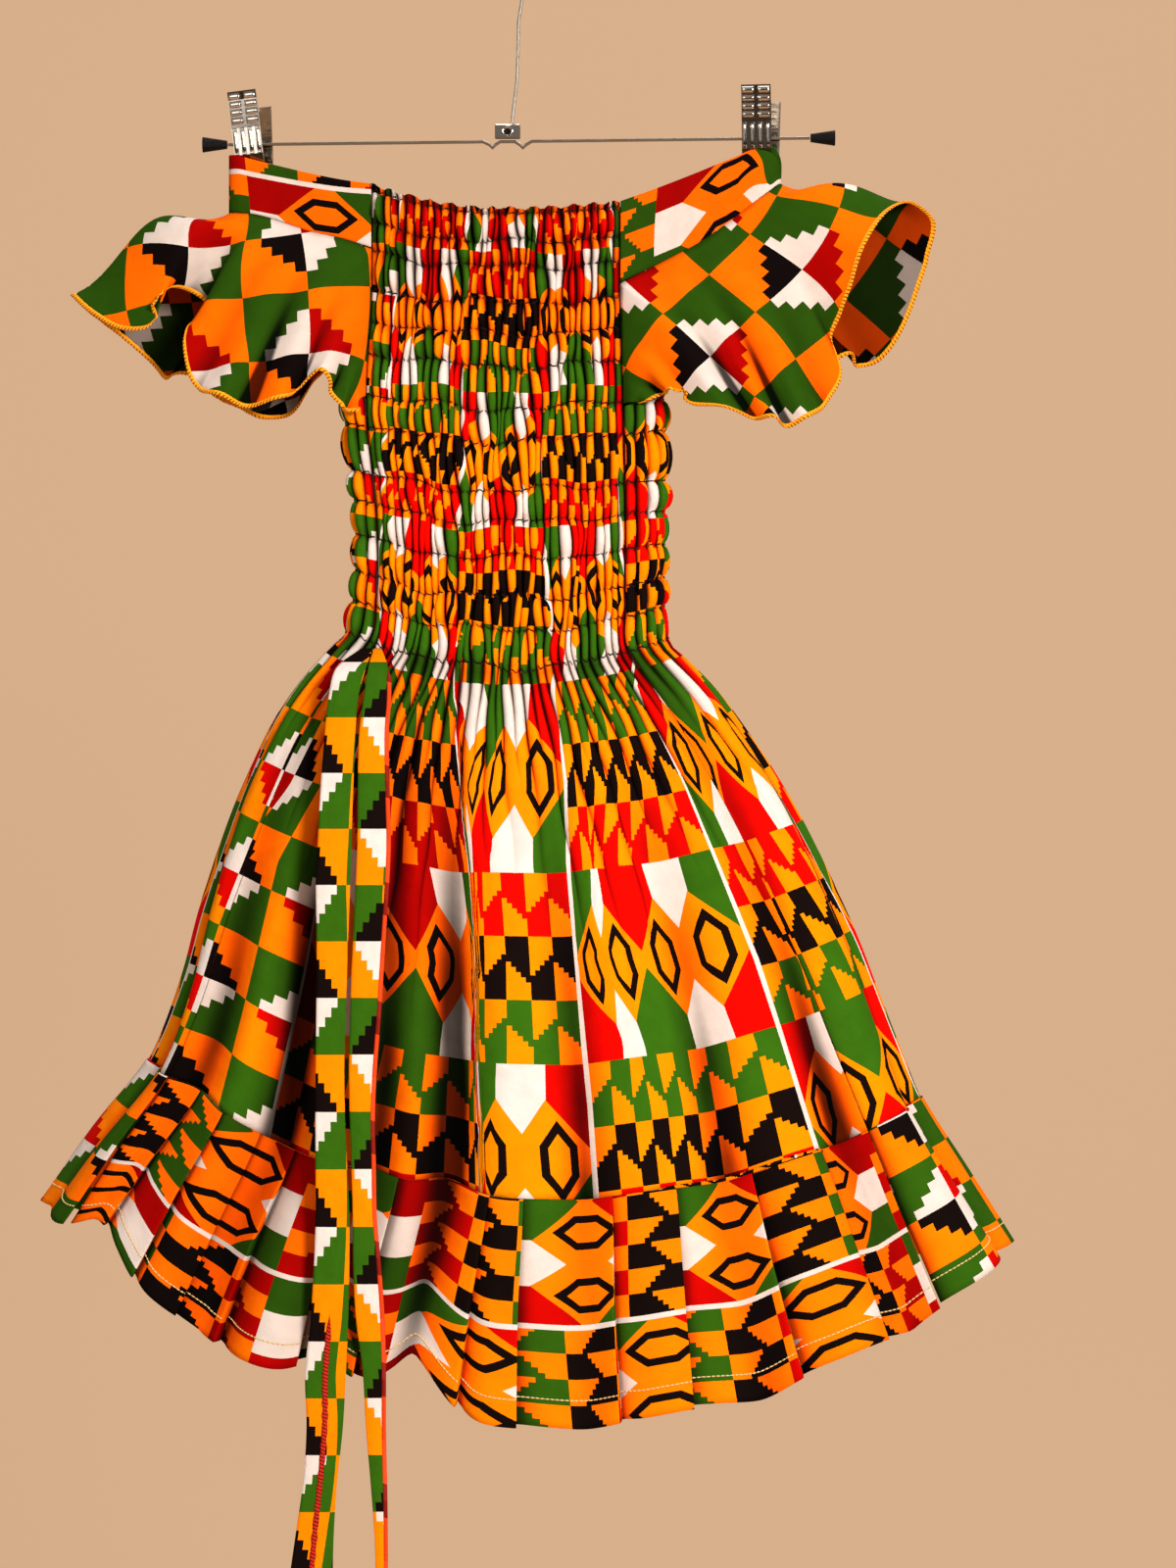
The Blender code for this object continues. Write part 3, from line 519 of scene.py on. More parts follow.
# Each line of a chart is a name, a first value and the steps that work on it one after another. A strip is
# 128 mm wide and repeats each 204 mm: a block of 102 mm, then three rows of 34 mm. A check is 32 by 34 mm.
stripChart = (
    # which strip, how far across it, and how far along its repeat
    ("strip", "u", ("DIVIDE", 128.0), ("FLOOR",)),
    ("stripStart", "strip", ("MULTIPLY", 128.0)),
    ("a", "u", ("SUBTRACT", "stripStart")),
    ("odd", "strip", ("FLOORED_MODULO", 2.0)),
    ("shift", "odd", ("MULTIPLY", 102.0)),
    ("b", "v", ("ADD", "shift"), ("FLOORED_MODULO", 204.0)),
    ("inBlock", "b", ("LESS_THAN", 102.0)),
    # rows of stepped triangles, every second one upside down
    ("belowBlock", "b", ("SUBTRACT", 102.0)),
    ("row", "belowBlock", ("DIVIDE", 34.0), ("FLOOR",)),
    ("rowStart", "row", ("MULTIPLY", 34.0)),
    ("r", "belowBlock", ("SUBTRACT", "rowStart")),
    ("p", "a", ("FLOORED_MODULO", 25.6)),
    ("second", "p", ("GREATER_THAN", 12.8)),
    ("secondStart", "second", ("MULTIPLY", 12.8)),
    ("mirrored", "r", ("MULTIPLY", -2.0), ("ADD", 34.0), ("MULTIPLY", "second")),
    ("shorter", "second", ("MULTIPLY", 0.4)),
    ("w", "r", ("ADD", "mirrored"), ("ADD", "shorter")),
    ("wCount", "w", ("SUBTRACT", 7.0), ("MAXIMUM", 0.0), ("DIVIDE", 2.74), ("FLOOR",)),
    ("few", "p", ("SUBTRACT", "secondStart"), ("DIVIDE", 2.56), ("FLOOR",), ("ADD", "wCount"),
     ("LESS_THAN", 4.5)),
    ("triangle", "w", ("LESS_THAN", 20.7), ("MULTIPLY", "few")),
    ("redRow", "odd", ("MULTIPLY", 2.0)),
    ("isRed", "row", ("COMPARE", "redRow", 0.1)),
    ("isBlack", "row", ("COMPARE", 1.0, 0.1)),
    # block with eyes, houses and many-sided patches
    ("bBack", 102.0, ("SUBTRACT", "b")),
    ("m", "b", ("MINIMUM", "bBack")),
    ("top", "b", ("LESS_THAN", 51.0)),
    ("c", "a", ("PINGPONG", 32.0)),
    ("patchNear", "c", ("LESS_THAN", 20.5)),
    ("patch", "c", ("MULTIPLY", 1.366), ("ADD", "m"), ("LESS_THAN", 46.5), ("MULTIPLY", "patchNear")),
    ("centre", "a", ("SUBTRACT", 64.0), ("ABSOLUTE",), ("LESS_THAN", 32.0)),
    ("patchRed", "centre", ("COMPARE", "top", 0.1), ("COMPARE", "odd", 0.1)),
    ("houseSide", 32.0, ("SUBTRACT", "c")),
    ("houseNear", "houseSide", ("LESS_THAN", 11.8)),
    ("house", "houseSide", ("MULTIPLY", 1.565), ("ADD", "m"), ("LESS_THAN", 36.8), ("MULTIPLY", "houseNear")),
    ("eyeSide", "c", ("SUBTRACT", 16.0), ("ABSOLUTE",)),
    ("eyeUp", 51.0, ("SUBTRACT", "m")),
    ("eyeWide", "eyeSide", ("SUBTRACT", 8.75)),
    ("eyeEdge", "eyeSide", ("MULTIPLY_ADD", 1.543, "eyeUp"), ("SUBTRACT", 21.5), ("MULTIPLY", 0.544),
     ("MAXIMUM", "eyeWide")),
    ("eyeIn", "eyeEdge", ("LESS_THAN", 0.0)),
    ("eye", "eyeEdge", ("GREATER_THAN", -3.8), ("MULTIPLY", "eyeIn")),
    # the woven-looking line between two strips
    ("line", "a", ("PINGPONG", 64.0), ("LESS_THAN", 1.35)),
)
stripLayers = (
    ("isRed", "green", "red", "rowColour"),
    ("isBlack", "rowColour", "black", "rowDark"),
    ("triangle", "rowDark", "orange", "rows"),
    ("eye", "orange", "black", "eyes"),
    ("patchRed", "green", "red", "patchColour"),
    ("patch", "eyes", "patchColour", "patches"),
    ("house", "patches", "cream", "block"),
    ("inBlock", "rows", "block", "strips"),
    ("line", "strips", "cream", "print"),
)

# Checks of two colours, with a stepped star of four colours round every second corner.
checkChart = (
    ("j", "v", ("DIVIDE", 34.0), ("FLOOR",)),
    ("orangeSquare", "u", ("DIVIDE", 32.0), ("FLOOR",), ("ADD", "j"), ("FLOORED_MODULO", 2.0)),
    ("du", "u", ("ADD", 32.0), ("FLOORED_MODULO", 64.0), ("SUBTRACT", 32.0)),
    ("dv", "v", ("ADD", 34.0), ("FLOORED_MODULO", 68.0), ("SUBTRACT", 34.0)),
    ("dvCount", "dv", ("ABSOLUTE",), ("DIVIDE", 5.75), ("FLOOR",)),
    ("star", "du", ("ABSOLUTE",), ("DIVIDE", 5.75), ("FLOOR",), ("ADD", "dvCount"), ("LESS_THAN", 3.5)),
    ("right", "du", ("GREATER_THAN", 0.0)),
    ("low", "dv", ("GREATER_THAN", 0.0)),
    ("sameSide", "right", ("COMPARE", "low", 0.1)),
)


def drawPrint(tree, chart, layers, made):
    # Wires a chart's steps, then lays its colours over each other.
    for name, first, *steps in chart:
        value = made.get(first, first)
        for operation, *others in steps:
            inputs = [value, *(made.get(other, other) for other in others)]
            value = addNode(tree, "ShaderNodeMath", {"operation": operation}, dict(enumerate(inputs)))
        made[name] = value
    for mask, under, over, name in layers:
        made[name] = addNode(tree, "ShaderNodeMix", {"data_type": "RGBA"},
                             {0: made[mask], 6: made[under], 7: made[over]})


def printGroup(name, chart, layers):
    # A node group that turns a place on the cloth, in millimetres, and how much painted light it gets into
    # the print's colour.
    group = bpy.data.node_groups.new(name, "ShaderNodeTree")
    for side in ("u", "v", "lit"):
        group.interface.new_socket(side, in_out="INPUT", socket_type="NodeSocketFloat")
    group.interface.new_socket("Colour", in_out="OUTPUT", socket_type="NodeSocketColor")
    entry = addNode(group, "NodeGroupInput").node
    made = {"u": entry.outputs["u"], "v": entry.outputs["v"]}
    for colour, (deep, full) in shadedAndLitPrintColours.items():
        made[colour] = addNode(group, "ShaderNodeMix", {"data_type": "RGBA"},
                               {0: entry.outputs["lit"], 6: linear(deep), 7: linear(full)})
    drawPrint(group, chart, layers, made)
    addNode(group, "NodeGroupOutput", None, {"Colour": made["print"]})
    return group


def checkLayers(rightStar, leftStar):
    return (
        ("orangeSquare", "green", "orange", "squares"),
        ("right", leftStar, rightStar, "sideStar"),
        ("sameSide", "sideStar", "cream", "starColour"),
        ("star", "squares", "starColour", "print"),
    )


tieLayers = (
    ("orangeSquare", "green", "orange", "squares"),
    ("low", "black", "cream", "starColour"),
    ("star", "squares", "starColour", "print"),
)
stripsGroup = printGroup("kenteStrips", stripChart, stripLayers)
checksGroup = printGroup("kenteChecks", checkChart, checkLayers("black", "red"))
flounceGroup = printGroup("kenteFlounceChecks", checkChart, checkLayers("red", "black"))
tieGroup = printGroup("kenteTieChecks", checkChart, tieLayers)


def startMaterial(name):
    material = bpy.data.materials.new(name)
    material.use_nodes = True
    material.node_tree.nodes.clear()
    return material, material.node_tree


def clothPlace(tree):
    # A piece's own place on its cloth or thread, in millimetres: the pair, and each of the two.
    uv = addNode(tree, "ShaderNodeUVMap", {"uv_map": "cloth"})
    inMillimetres = addNode(tree, "ShaderNodeVectorMath", {"operation": "SCALE"}, {0: uv, "Scale": 1 / mm})
    apart = addNode(tree, "ShaderNodeSeparateXYZ", None, {0: inMillimetres}).node
    return inMillimetres, apart.outputs[0], apart.outputs[1]


cottonMaking = {
    "deepAt": 0.05,       # the fold value at which a colour's painted shade is deepest, and the one at which it is fullest
    "fullAt": 0.62,
    "dimUnder": 0.25,     # below this fold value the colour is darkened more and more, as painted shade
    "darkest": 0.07,
    "cloudScale": 0.09,   # noise scales are for each millimetre
    "weaveScale": 1.1,
    "weaveDepth": 0.4,
    "crushScale": 0.055,
    "crushDepth": 2.2,
    "roughness": 0.85,
    "shine": 0.03,
}


def waxPrintCotton(name, colourOf, fullest, brightest=1.0):
    # Plain-woven wax-print cotton, screen printed with dye on both sides: matt, crisp edges to every
    # colour, a faint grain of threads and small crush creases. Painted shade: each colour runs from its deep
    # to its full shade with the piece's "fold" attribute, deep in hollows and full on crests, and the
    # deepest hollows are darkened further. fullest is the share of the full shade that a crest reaches, and
    # brightest the share of the painted light.
    material, tree = startMaterial(name)
    inMillimetres, u, v = clothPlace(tree)
    fold = addNode(tree, "ShaderNodeAttribute", {"attribute_name": "fold"}).node
    lit = addNode(tree, "ShaderNodeMapRange", {"interpolation_type": "SMOOTHSTEP"},
                  {"Value": fold.outputs["Fac"], "From Min": cottonMaking["deepAt"],
                   "From Max": cottonMaking["fullAt"], "To Min": 0.0, "To Max": fullest})
    colour = colourOf(tree, u, v, lit)
    # Uneven take-up of the dye.
    cloud = addNode(tree, "ShaderNodeTexNoise", {"noise_dimensions": "2D"},
                    {"Vector": inMillimetres, "Scale": cottonMaking["cloudScale"], "Detail": 4.0})
    fade = addNode(tree, "ShaderNodeMapRange", None,
                   {"Value": cloud, "From Min": 0.3, "From Max": 0.7, "To Min": 0.93, "To Max": 1.04})
    # Painted shade: in the deepest hollows the colour is darkened further.
    dim = addNode(tree, "ShaderNodeMapRange", {"interpolation_type": "SMOOTHSTEP"},
                  {"Value": fold.outputs["Fac"], "From Min": 0.0, "From Max": cottonMaking["dimUnder"],
                   "To Min": brightest * cottonMaking["darkest"], "To Max": brightest})
    shown = addNode(tree, "ShaderNodeMath", {"operation": "MULTIPLY"}, {0: fade, 1: dim})
    dyed = addNode(tree, "ShaderNodeVectorMath", {"operation": "SCALE"}, {0: colour, "Scale": shown})
    # The threads are 0.35 mm apart, drawn at 0.9 mm so that they show in the picture.
    weave = addNode(tree, "ShaderNodeTexChecker", None,
                    {"Vector": inMillimetres, "Scale": cottonMaking["weaveScale"]})
    threads = addNode(tree, "ShaderNodeBump", None,
                      {"Strength": 0.08, "Distance": cottonMaking["weaveDepth"] * mm,
                       "Height": weave.node.outputs["Fac"]})
    crush = addNode(tree, "ShaderNodeTexNoise", {"noise_dimensions": "2D"},
                    {"Vector": inMillimetres, "Scale": cottonMaking["crushScale"], "Detail": 5.0,
                     "Roughness": 0.6})
    creased = addNode(tree, "ShaderNodeBump", None,
                      {"Strength": 0.35, "Distance": cottonMaking["crushDepth"] * mm, "Height": crush,
                       "Normal": threads})
    shader = addNode(tree, "ShaderNodeBsdfPrincipled", None,
                     {"Base Color": dyed, "Roughness": cottonMaking["roughness"],
                      "Specular IOR Level": cottonMaking["shine"], "IOR": 1.5, "Normal": creased})
    addNode(tree, "ShaderNodeOutputMaterial", None, {"Surface": shader})
    return material


def groupColour(group):
    # The colour of a print group, for a material that wears the one print all over.
    def colourOf(tree, u, v, lit):
        return addNode(tree, "ShaderNodeGroup", {"node_tree": group}, {0: u, 1: v, 2: lit})
    return colourOf


def panelColour(tree, u, v, lit):
    # Checks within 53 mm of the left seam, strips beyond. u runs from that seam, below 0 on the back panel.
    made = {"u": u, "v": v}
    drawPrint(tree, (
        ("beyond", "u", ("ABSOLUTE",), ("SUBTRACT", 53.0)),
        ("side", "u", ("SIGN",)),
        ("isStrip", "beyond", ("GREATER_THAN", 0.0)),
        ("frontShift", "u", ("GREATER_THAN", 0.0), ("MULTIPLY", 128.0)),
        ("stripU", "beyond", ("MULTIPLY", "side"), ("ADD", "frontShift")),
        ("stripV", "v", ("SUBTRACT", 10.0)),
        ("checkU", "u", ("ADD", 4.0)),
        ("checkV", "v", ("SUBTRACT", 15.0)),
    ), (), made)
    strips = groupColour(stripsGroup)(tree, made["stripU"], made["stripV"], lit)
    checks = groupColour(checksGroup)(tree, made["checkU"], made["checkV"], lit)
    return addNode(tree, "ShaderNodeMix", {"data_type": "RGBA"}, {0: made["isStrip"], 6: checks, 7: strips})


threadMaking = {
    "slant": 0.35,       # how far the stitches lean, along for each millimetre round
    "tickShare": 0.14,   # how much of the spacing a darker tick takes
    "ridge": 0.6,
    "shine": 0.2,
}


def spunThread(name, colour, tick, spacing, ticksOver, roughness=0.75):
    # Spun polyester sewing thread laid side by side: soft ridges across the seam, and a darker looper
    # thread that shows as ticks. u runs along the seam and v round the thread, in millimetres.
    material, tree = startMaterial(name)
    u, v = clothPlace(tree)[1:]
    slanted = addNode(tree, "ShaderNodeMath", {"operation": "MULTIPLY_ADD"},
                      {0: v, 1: threadMaking["slant"], 2: u})
    beat = addNode(tree, "ShaderNodeMath", {"operation": "PINGPONG"}, {0: slanted, 1: spacing / 2})
    thin = addNode(tree, "ShaderNodeMath", {"operation": "LESS_THAN"},
                   {0: beat, 1: spacing * threadMaking["tickShare"]})
    outer = addNode(tree, "ShaderNodeMath", {"operation": "LESS_THAN"}, {0: v, 1: ticksOver})
    ticked = addNode(tree, "ShaderNodeMath", {"operation": "MULTIPLY"}, {0: thin, 1: outer})
    colours = addNode(tree, "ShaderNodeMix", {"data_type": "RGBA"},
                      {0: ticked, 6: linear(colour), 7: linear(tick)})
    ridge = addNode(tree, "ShaderNodeBump", None,
                    {"Strength": 0.6, "Distance": threadMaking["ridge"] * mm, "Height": beat})
    shader = addNode(tree, "ShaderNodeBsdfPrincipled", None,
                     {"Base Color": colours, "Roughness": roughness,
                      "Specular IOR Level": threadMaking["shine"], "Normal": ridge})
    addNode(tree, "ShaderNodeOutputMaterial", None, {"Surface": shader})
    return material


def handledSurface(name, colour, darker, roughness, metallic, grain, depth):
    # A smooth hard surface with the small unevenness of making and handling: noise turns the colour
    # darker, the roughness up and the surface a little wavy.
    material, tree = startMaterial(name)
    place = addNode(tree, "ShaderNodeTexCoord").node.outputs["Object"]
    noise = addNode(tree, "ShaderNodeTexNoise", None, {"Vector": place, "Scale": grain, "Detail": 4.0})
    tone = addNode(tree, "ShaderNodeMix", {"data_type": "RGBA"},
                   {0: noise, 6: linear(darker), 7: linear(colour)})
    rough = addNode(tree, "ShaderNodeMapRange", None,
                    {"Value": noise, "From Min": 0.3, "From Max": 0.7, "To Min": roughness * 1.5,
                     "To Max": roughness * 0.8})
    wavy = addNode(tree, "ShaderNodeBump", None, {"Strength": 0.25, "Distance": depth, "Height": noise})
    shader = addNode(tree, "ShaderNodeBsdfPrincipled", None,
                     {"Base Color": tone, "Roughness": rough, "Metallic": metallic,
                      "Specular IOR Level": 0.5 if metallic else 0.12, "Normal": wavy})
    addNode(tree, "ShaderNodeOutputMaterial", None, {"Surface": shader})
    return material


# The last number is how near each piece's crests come to their full colours, as painted light: the bands and
# flounces stay in deep painted shade.
panelCotton = waxPrintCotton("waxPrintPanel", panelColour, 0.85)
stripCotton = waxPrintCotton("waxPrintStrips", groupColour(stripsGroup), 0.62)
checkCotton = waxPrintCotton("waxPrintChecks", groupColour(checksGroup), 0.6)
bandCotton = waxPrintCotton("waxPrintBands", groupColour(stripsGroup), 0.2)
flounceCotton = waxPrintCotton("waxPrintFlounce", groupColour(flounceGroup), 0.28)
tieCotton = waxPrintCotton("waxPrintTie", groupColour(tieGroup), 0.8)
# The inside of a flounce, as painted shade: deep colours only, at a third of the light.
flounceInsideShadeCotton = waxPrintCotton("waxPrintFlounceInsidePaintedShade", groupColour(flounceGroup), 0.0, brightest=0.34)
tieFoldCotton = spunThread("tieFoldedEdge", "#F04410", "#8A1404", 64.0, 9)
elastic = spunThread("blackElasticThread", "#0C0808", "#2A1A14", 0.9, 9, 0.9)
overlockThread = spunThread("orangeOverlockThread", "#FFA010", "#5A1804", 2.1, 1.6)
redThread = spunThread("redOverlockThread", "#C42008", "#180A06", 1.9, 9)
creamThread = spunThread("creamTopstitchThread", "#F2D79A", "#B98A3C", 0.8, 9)
# Chrome plated spring steel: near mirror, its grey warmed by what it reflects.
chrome = handledSurface("chromePlatedSteel", "#D8D2CA", "#A49C92", 0.09, 1.0, 140.0, 0.00006)
wire = handledSurface("drawnSteelWire", "#9A938A", "#7C766E", 0.3, 1.0, 220.0, 0.00004)
# Moulded black rubber: dull, with a fine mould grain of about 1 mm.
rubber = handledSurface("mouldedBlackRubber", "#0C0A09", "#050404", 0.6, 0.0, 900.0, 0.0002)
print("materials made")

# front and back panels

panelMaking = {
    "frontPuffs": 34,
    "backPuffs": 38,
    "frontSteps": (2.2, 3.8),      # row spacing of the mesh in the bodice and in the skirt
    "backSteps": (2.7, 4.6),
    "puffHeight": 3.9,
    "puffUneven": (0.55, 0.75),    # the least share of that height, and how much more an uneven puff has
    "rowRidge": 1.0,
    "valley": 2.8,
    "lean": 2.6,
    "rowWander": 1.7,              # how far the elastic rows stray up and down
    "header": 1.8,
    "topWave": 0.9,                # how far the top edge rises and falls
    "waistGather": 2.8,
    "broadGather": 3.4,
    "borderSway": (0.26, 0.17),    # how far puffs' borders wander down the cloth, slowly and quickly
    "borderJitter": (0.5, 0.62),   # how uneven their widths are, all the way down and from row to row
    "tucked": 0.23,                # the share of a puff's cloth in the valley at each side
    "crestPower": 3.2,             # how quickly a bodice puff's painted shade deepens away from its crest
    "crestLight": (0.3, 0.4),      # how lit crests are painted at the neckline, and how much more lower down
}
puffPhase = np.array([0, 0.07, 0.2, 0.39, 0.61, 0.8, 0.93])

# The lay of the front panel's cloth: at each height in the picture, where each line along the cloth shows.
# Lines are in millimetres from the left side seam. Where two come close together, the cloth between is
# folded in.
layLines = np.array([-20, 53, 101, 133, 156, 181, 201.5, 224.5, 254, 265.5, 288.5, 309, 329.5, 352.5, 393.5,
                     416.5, 437, 457.5, 530])
frontLay = np.array([
    # height, then a place for each line
    (217, 366, 410, 435, 452, 465, 478, 489, 501, 516, 522, 534, 545, 557, 571, 596, 610, 622, 634, 678),
    (560, 343, 388, 418, 438, 452, 468, 482, 498, 518, 526, 542, 556, 568, 582, 607, 621, 633, 645, 690),
    (700, 341, 388, 418, 440, 455, 467, 469, 497, 508, 511, 539, 566, 577, 590, 616, 632, 648, 665, 715),
    (740, 316, 372, 412, 436, 452, 466, 469, 497, 509, 514, 539, 571, 586, 602, 634, 652, 668, 690, 750),
    (800, 280, 352, 398, 430, 450, 469, 471, 479, 501, 510, 543, 578, 592, 611, 650, 674, 698, 714, 804),
    (880, 202, 326, 390, 430, 468, 478, 480, 482, 488, 500, 543, 580, 603, 606, 654, 693, 731, 752, 860),
    (980, 174, 305, 398, 452, 482, 486, 487, 488, 489, 507, 550, 589, 606, 626, 687, 722, 771, 812, 932),
    (1065, 150, 285, 385, 440, 479, 485, 486, 487, 489, 507, 555, 596, 636, 656, 712, 752, 799, 838, 955),
    (1130, 135, 270, 370, 434, 479, 488, 489, 490, 492, 506, 556, 603, 639, 670, 723, 764, 820, 852, 962),
    (1220, 112, 252, 360, 428, 480, 491, 492, 493, 494, 508, 565, 609, 650, 680, 735, 780, 850, 885, 985),
], float)
# Levels of the bodice, and the place down the cloth of each.
bodiceLay = np.array([(0, -330), (140, -143), (214, -41), (252, 0)], float)


def rowPosition(down):
    # Which pair of elastic rows a level lies between, and how far down between them, 0 to 1.
    rows = np.array(shirringRows, float)
    first = np.clip(np.searchsorted(rows, down, side="right") - 1, 0, len(rows) - 2)
    return first, np.clip((down - rows[first]) / (rows[first + 1] - rows[first]), 0, 1)


# Painted light: how lit the skirt and the tier are painted at each angle round them.
skirtPaintedShade = np.array([(0, 0.6), (30, 0.66), (52, 0.76), (66, 0.94), (98, 0.94), (103, 0.4), (128, 0.42),
                       (140, 0.46), (175, 0.56), (200, 0.72), (350, 0.72), (390, 0.66)])


def meshLevels(steps):
    # Levels from neckline to tier, with one on each elastic row.
    stops = [0.0, *shirringRows]
    levels = [0.0]
    for top, low in zip(stops, stops[1:]):
        count = max(2, round((low - top) / steps[0]))
        levels += list(top + (low - top) * np.arange(1, count + 1) / count)
    end = dress["neckToTier"] - 0.15
    count = round((end - levels[-1]) / steps[1])
    return np.array(levels + list(levels[-1] + (end - levels[-1]) * np.arange(1, count + 1) / count))


def panelPoints(limits, puffs, levels, seed):
    # Columns follow the puffs, whose borders sway from row to row: place + sway(place, level). A puff's rise
    # is 1 - |2 phase - 1|^3 across it, times the sine of the way between two elastic rows down it.
    waist = dress["neckToWaist"]
    place = np.append((np.arange(puffs)[:, None] + puffPhase).ravel(), puffs)[None, :]
    number, phase = np.floor(place + 1e-6), (place + 1e-6) % 1
    number = np.minimum(number, puffs - 1)
    down = levels[:, None]
    free = np.clip(5 * np.minimum(place, puffs - place) / puffs, 0, 1)
    borders = np.arange(puffs + 1)
    alike, own = panelMaking["borderJitter"]
    jitter = np.interp(place, borders, alike * (uneven(borders, seed + 9) - 0.5))
    # Between one pair of elastic rows and the next the borders also shift on their own.
    row, between = rowPosition(down)
    swell = np.sin(math.pi * between) ** 0.6
    before, part = np.floor(place), place - np.floor(place)
    shift = uneven(row + 31 + seed, before) * (1 - part) + uneven(row + 31 + seed, before + 1) * part - 0.5
    jitter = jitter + own * shift * swell * (down < waist)
    slow, quick = panelMaking["borderSway"]
    sway = (slow * np.sin(down / 23 + place * 0.9 + seed)
            + quick * np.sin(down / 9.5 + place * 1.1 + 2 * seed) + jitter)
    calm = 1 - 0.6 * ease(waist, waist + 90, down)
    across = np.clip((place + sway * free * calm) / puffs, 0, 1)
    grid, normal, angle = bodyGrid(limits, levels, across)
    down = np.repeat(down, place.shape[1], axis=1)
    crest = 1 - np.abs(2 * phase - 1) ** 3
    least, more = panelMaking["puffUneven"]
    high = panelMaking["puffHeight"] * (least + more * uneven(row + seed, number))
    inBodice = 1 - ease(waist - 1, waist + 5, down)
    edge = np.clip(np.minimum(place, puffs - place) / 1.5, 0, 1)
    smocked = ((panelMaking["rowRidge"] + high * swell) * crest
               - panelMaking["valley"] * (1 - crest) ** 2 * (0.5 + 0.5 * swell))
    header = (1 - ease(0, shirringRows[0], down)) * panelMaking["header"] * crest
    # Under the waist every puff runs on as a gather at first, then pairs and threes that run further down.
    fall = down - waist
    fine = panelMaking["waistGather"] * ease(-2, 14, fall) * (1 - ease(16, 78, fall))
    fine = fine * (0.5 + 0.9 * uneven(number, seed + 3))
    pair = (np.floor(number / 2) + seed) % 7
    broad = panelMaking["broadGather"] * ease(4, 40, fall) * (1 - ease(50, 90 + 22 * pair, fall))
    broad = broad * (0.3 + uneven(pair, seed))
    broadPhase = (number % 2 + phase) / 2
    broadCrest = 1 - np.abs(2 * broadPhase - 1) ** 2.2
    gathers = (fine * (crest - 0.6) + broad * (broadCrest - 0.6)) * ease(-2, 8, fall)
    grid = grid + normal * ((smocked * inBodice + header + gathers) * edge)[..., None]
    way = unit(np.gradient(grid, axis=1) * (1, 1, 0))
    lean = panelMaking["lean"] * (2 * uneven(row + 3 * seed, number + 5) - 1) * swell * crest
    grid = grid + way * (lean * inBodice * edge)[..., None]
    share = place / puffs
    stray = np.sin(share * 11 + down / 27 + seed) + 0.7 * np.sin(share * 23 - down / 15 + 2 * seed)
    grid[..., 2] += panelMaking["rowWander"] * stray * free * ease(0, 30, down) * inBodice
    grid[..., 2] += panelMaking["topWave"] * (1 - ease(0, 4, down)) * np.sin(place * 2.3 + seed)
    # The last value is the crest mask that addPanel turns into painted shade between the puffs.
    return grid, normal, angle, down, phase, np.clip(crest * 1.1 * (0.8 + 0.2 * swell), 0, 1)


def tuck(u, puffs, phase, down):
    # In the bodice each puff shows the middle of its share of the cloth: the rest is tucked beside it.
    borders = u[:, ::len(puffPhase)]
    column = np.minimum(np.arange(u.shape[1]) // len(puffPhase), puffs - 1)
    first, last = borders[:, column], borders[:, column + 1]
    t = np.where(np.arange(u.shape[1]) == u.shape[1] - 1, 1.0, phase)
    tucked = panelMaking["tucked"]
    share = np.interp(t, [0, 0.07, 0.93, 1], [0, tucked, 1 - tucked, 1])
    hold = 1 - ease(0, 70, down - dress["neckToWaist"])
    return u + hold * (first + (last - first) * share - u)


def clothDown(down):
    waist = dress["neckToWaist"]
    return np.where(down < waist, np.interp(down, bodiceLay[:, 0], bodiceLay[:, 1]), down - waist)


def frontAcross(angle, down):
    # Adds up, line by line, how much of the cloth lies left of each place in the picture.
    x, y = seenAt(ring(angle, down))
    heights = frontLay[:, 0]
    u = np.full(x.shape, layLines[0], float)
    places = [np.interp(y, heights, frontLay[:, i + 1]) for i in range(len(layLines))]
    for i in range(len(layLines) - 1):
        part = np.clip((x - places[i]) / (places[i + 1] - places[i]), 0, 1)
        u = u + (layLines[i + 1] - layLines[i]) * part
    return u


def backAcross(angle, down):
    # Near true size on what shows. The rest of the cut width is taken up in the long folds.
    shown = np.diff(alongLength(ring(angle, down)), axis=1)
    weight = np.full(angle.shape, 0.05)
    for centre, width in zip(skirtFolds["angle"], skirtFolds["width"]):
        away = (angle - centre + 180) % 360 - 180
        weight = weight + np.exp(-(away / width * 1.3) ** 2) * ease(60, 200, down - dress["neckToWaist"])
    weight = (weight[:, 1:] + weight[:, :-1]) / 2 * shown
    hidden = np.maximum(dress["backWidth"] - shown.sum(axis=1, keepdims=True), 0)
    step = shown + hidden * weight / weight.sum(axis=1, keepdims=True)
    return np.concatenate([np.zeros((len(step), 1)), np.cumsum(step, axis=1)], axis=1) - dress["backWidth"]


def addPanel(name, limits, puffs, steps, seed, acrossOf):
    waist = dress["neckToWaist"]
    levels = meshLevels(steps)
    grid, normal, angle, down, phase, crest = panelPoints(limits, puffs, levels, seed)
    u = tuck(acrossOf(angle, down), puffs, phase[0], down)
    # Painted shade: valleys are deep in colour all down the bodice, and the top rows more so, where puffs lie
    # closest. On the skirt the cloth beside the deepest fold and round the left side is painted in shade.
    smocked = 1 - ease(waist, waist + 60, down)
    shade = np.interp(angle, skirtPaintedShade[:, 0], skirtPaintedShade[:, 1])
    shade = 1 - (1 - shade) * ease(waist - 20, waist + 60, down)
    least, more = panelMaking["crestLight"]
    crestLit = crest ** panelMaking["crestPower"] * (least + more * ease(30, 150, down))
    depth = (1 - smocked * (1 - crestLit)) * shade
    panel = addCloth(name, grid, np.stack([u, clothDown(down)], axis=-1), panelCotton, depth=depth)
    return panel, grid, normal


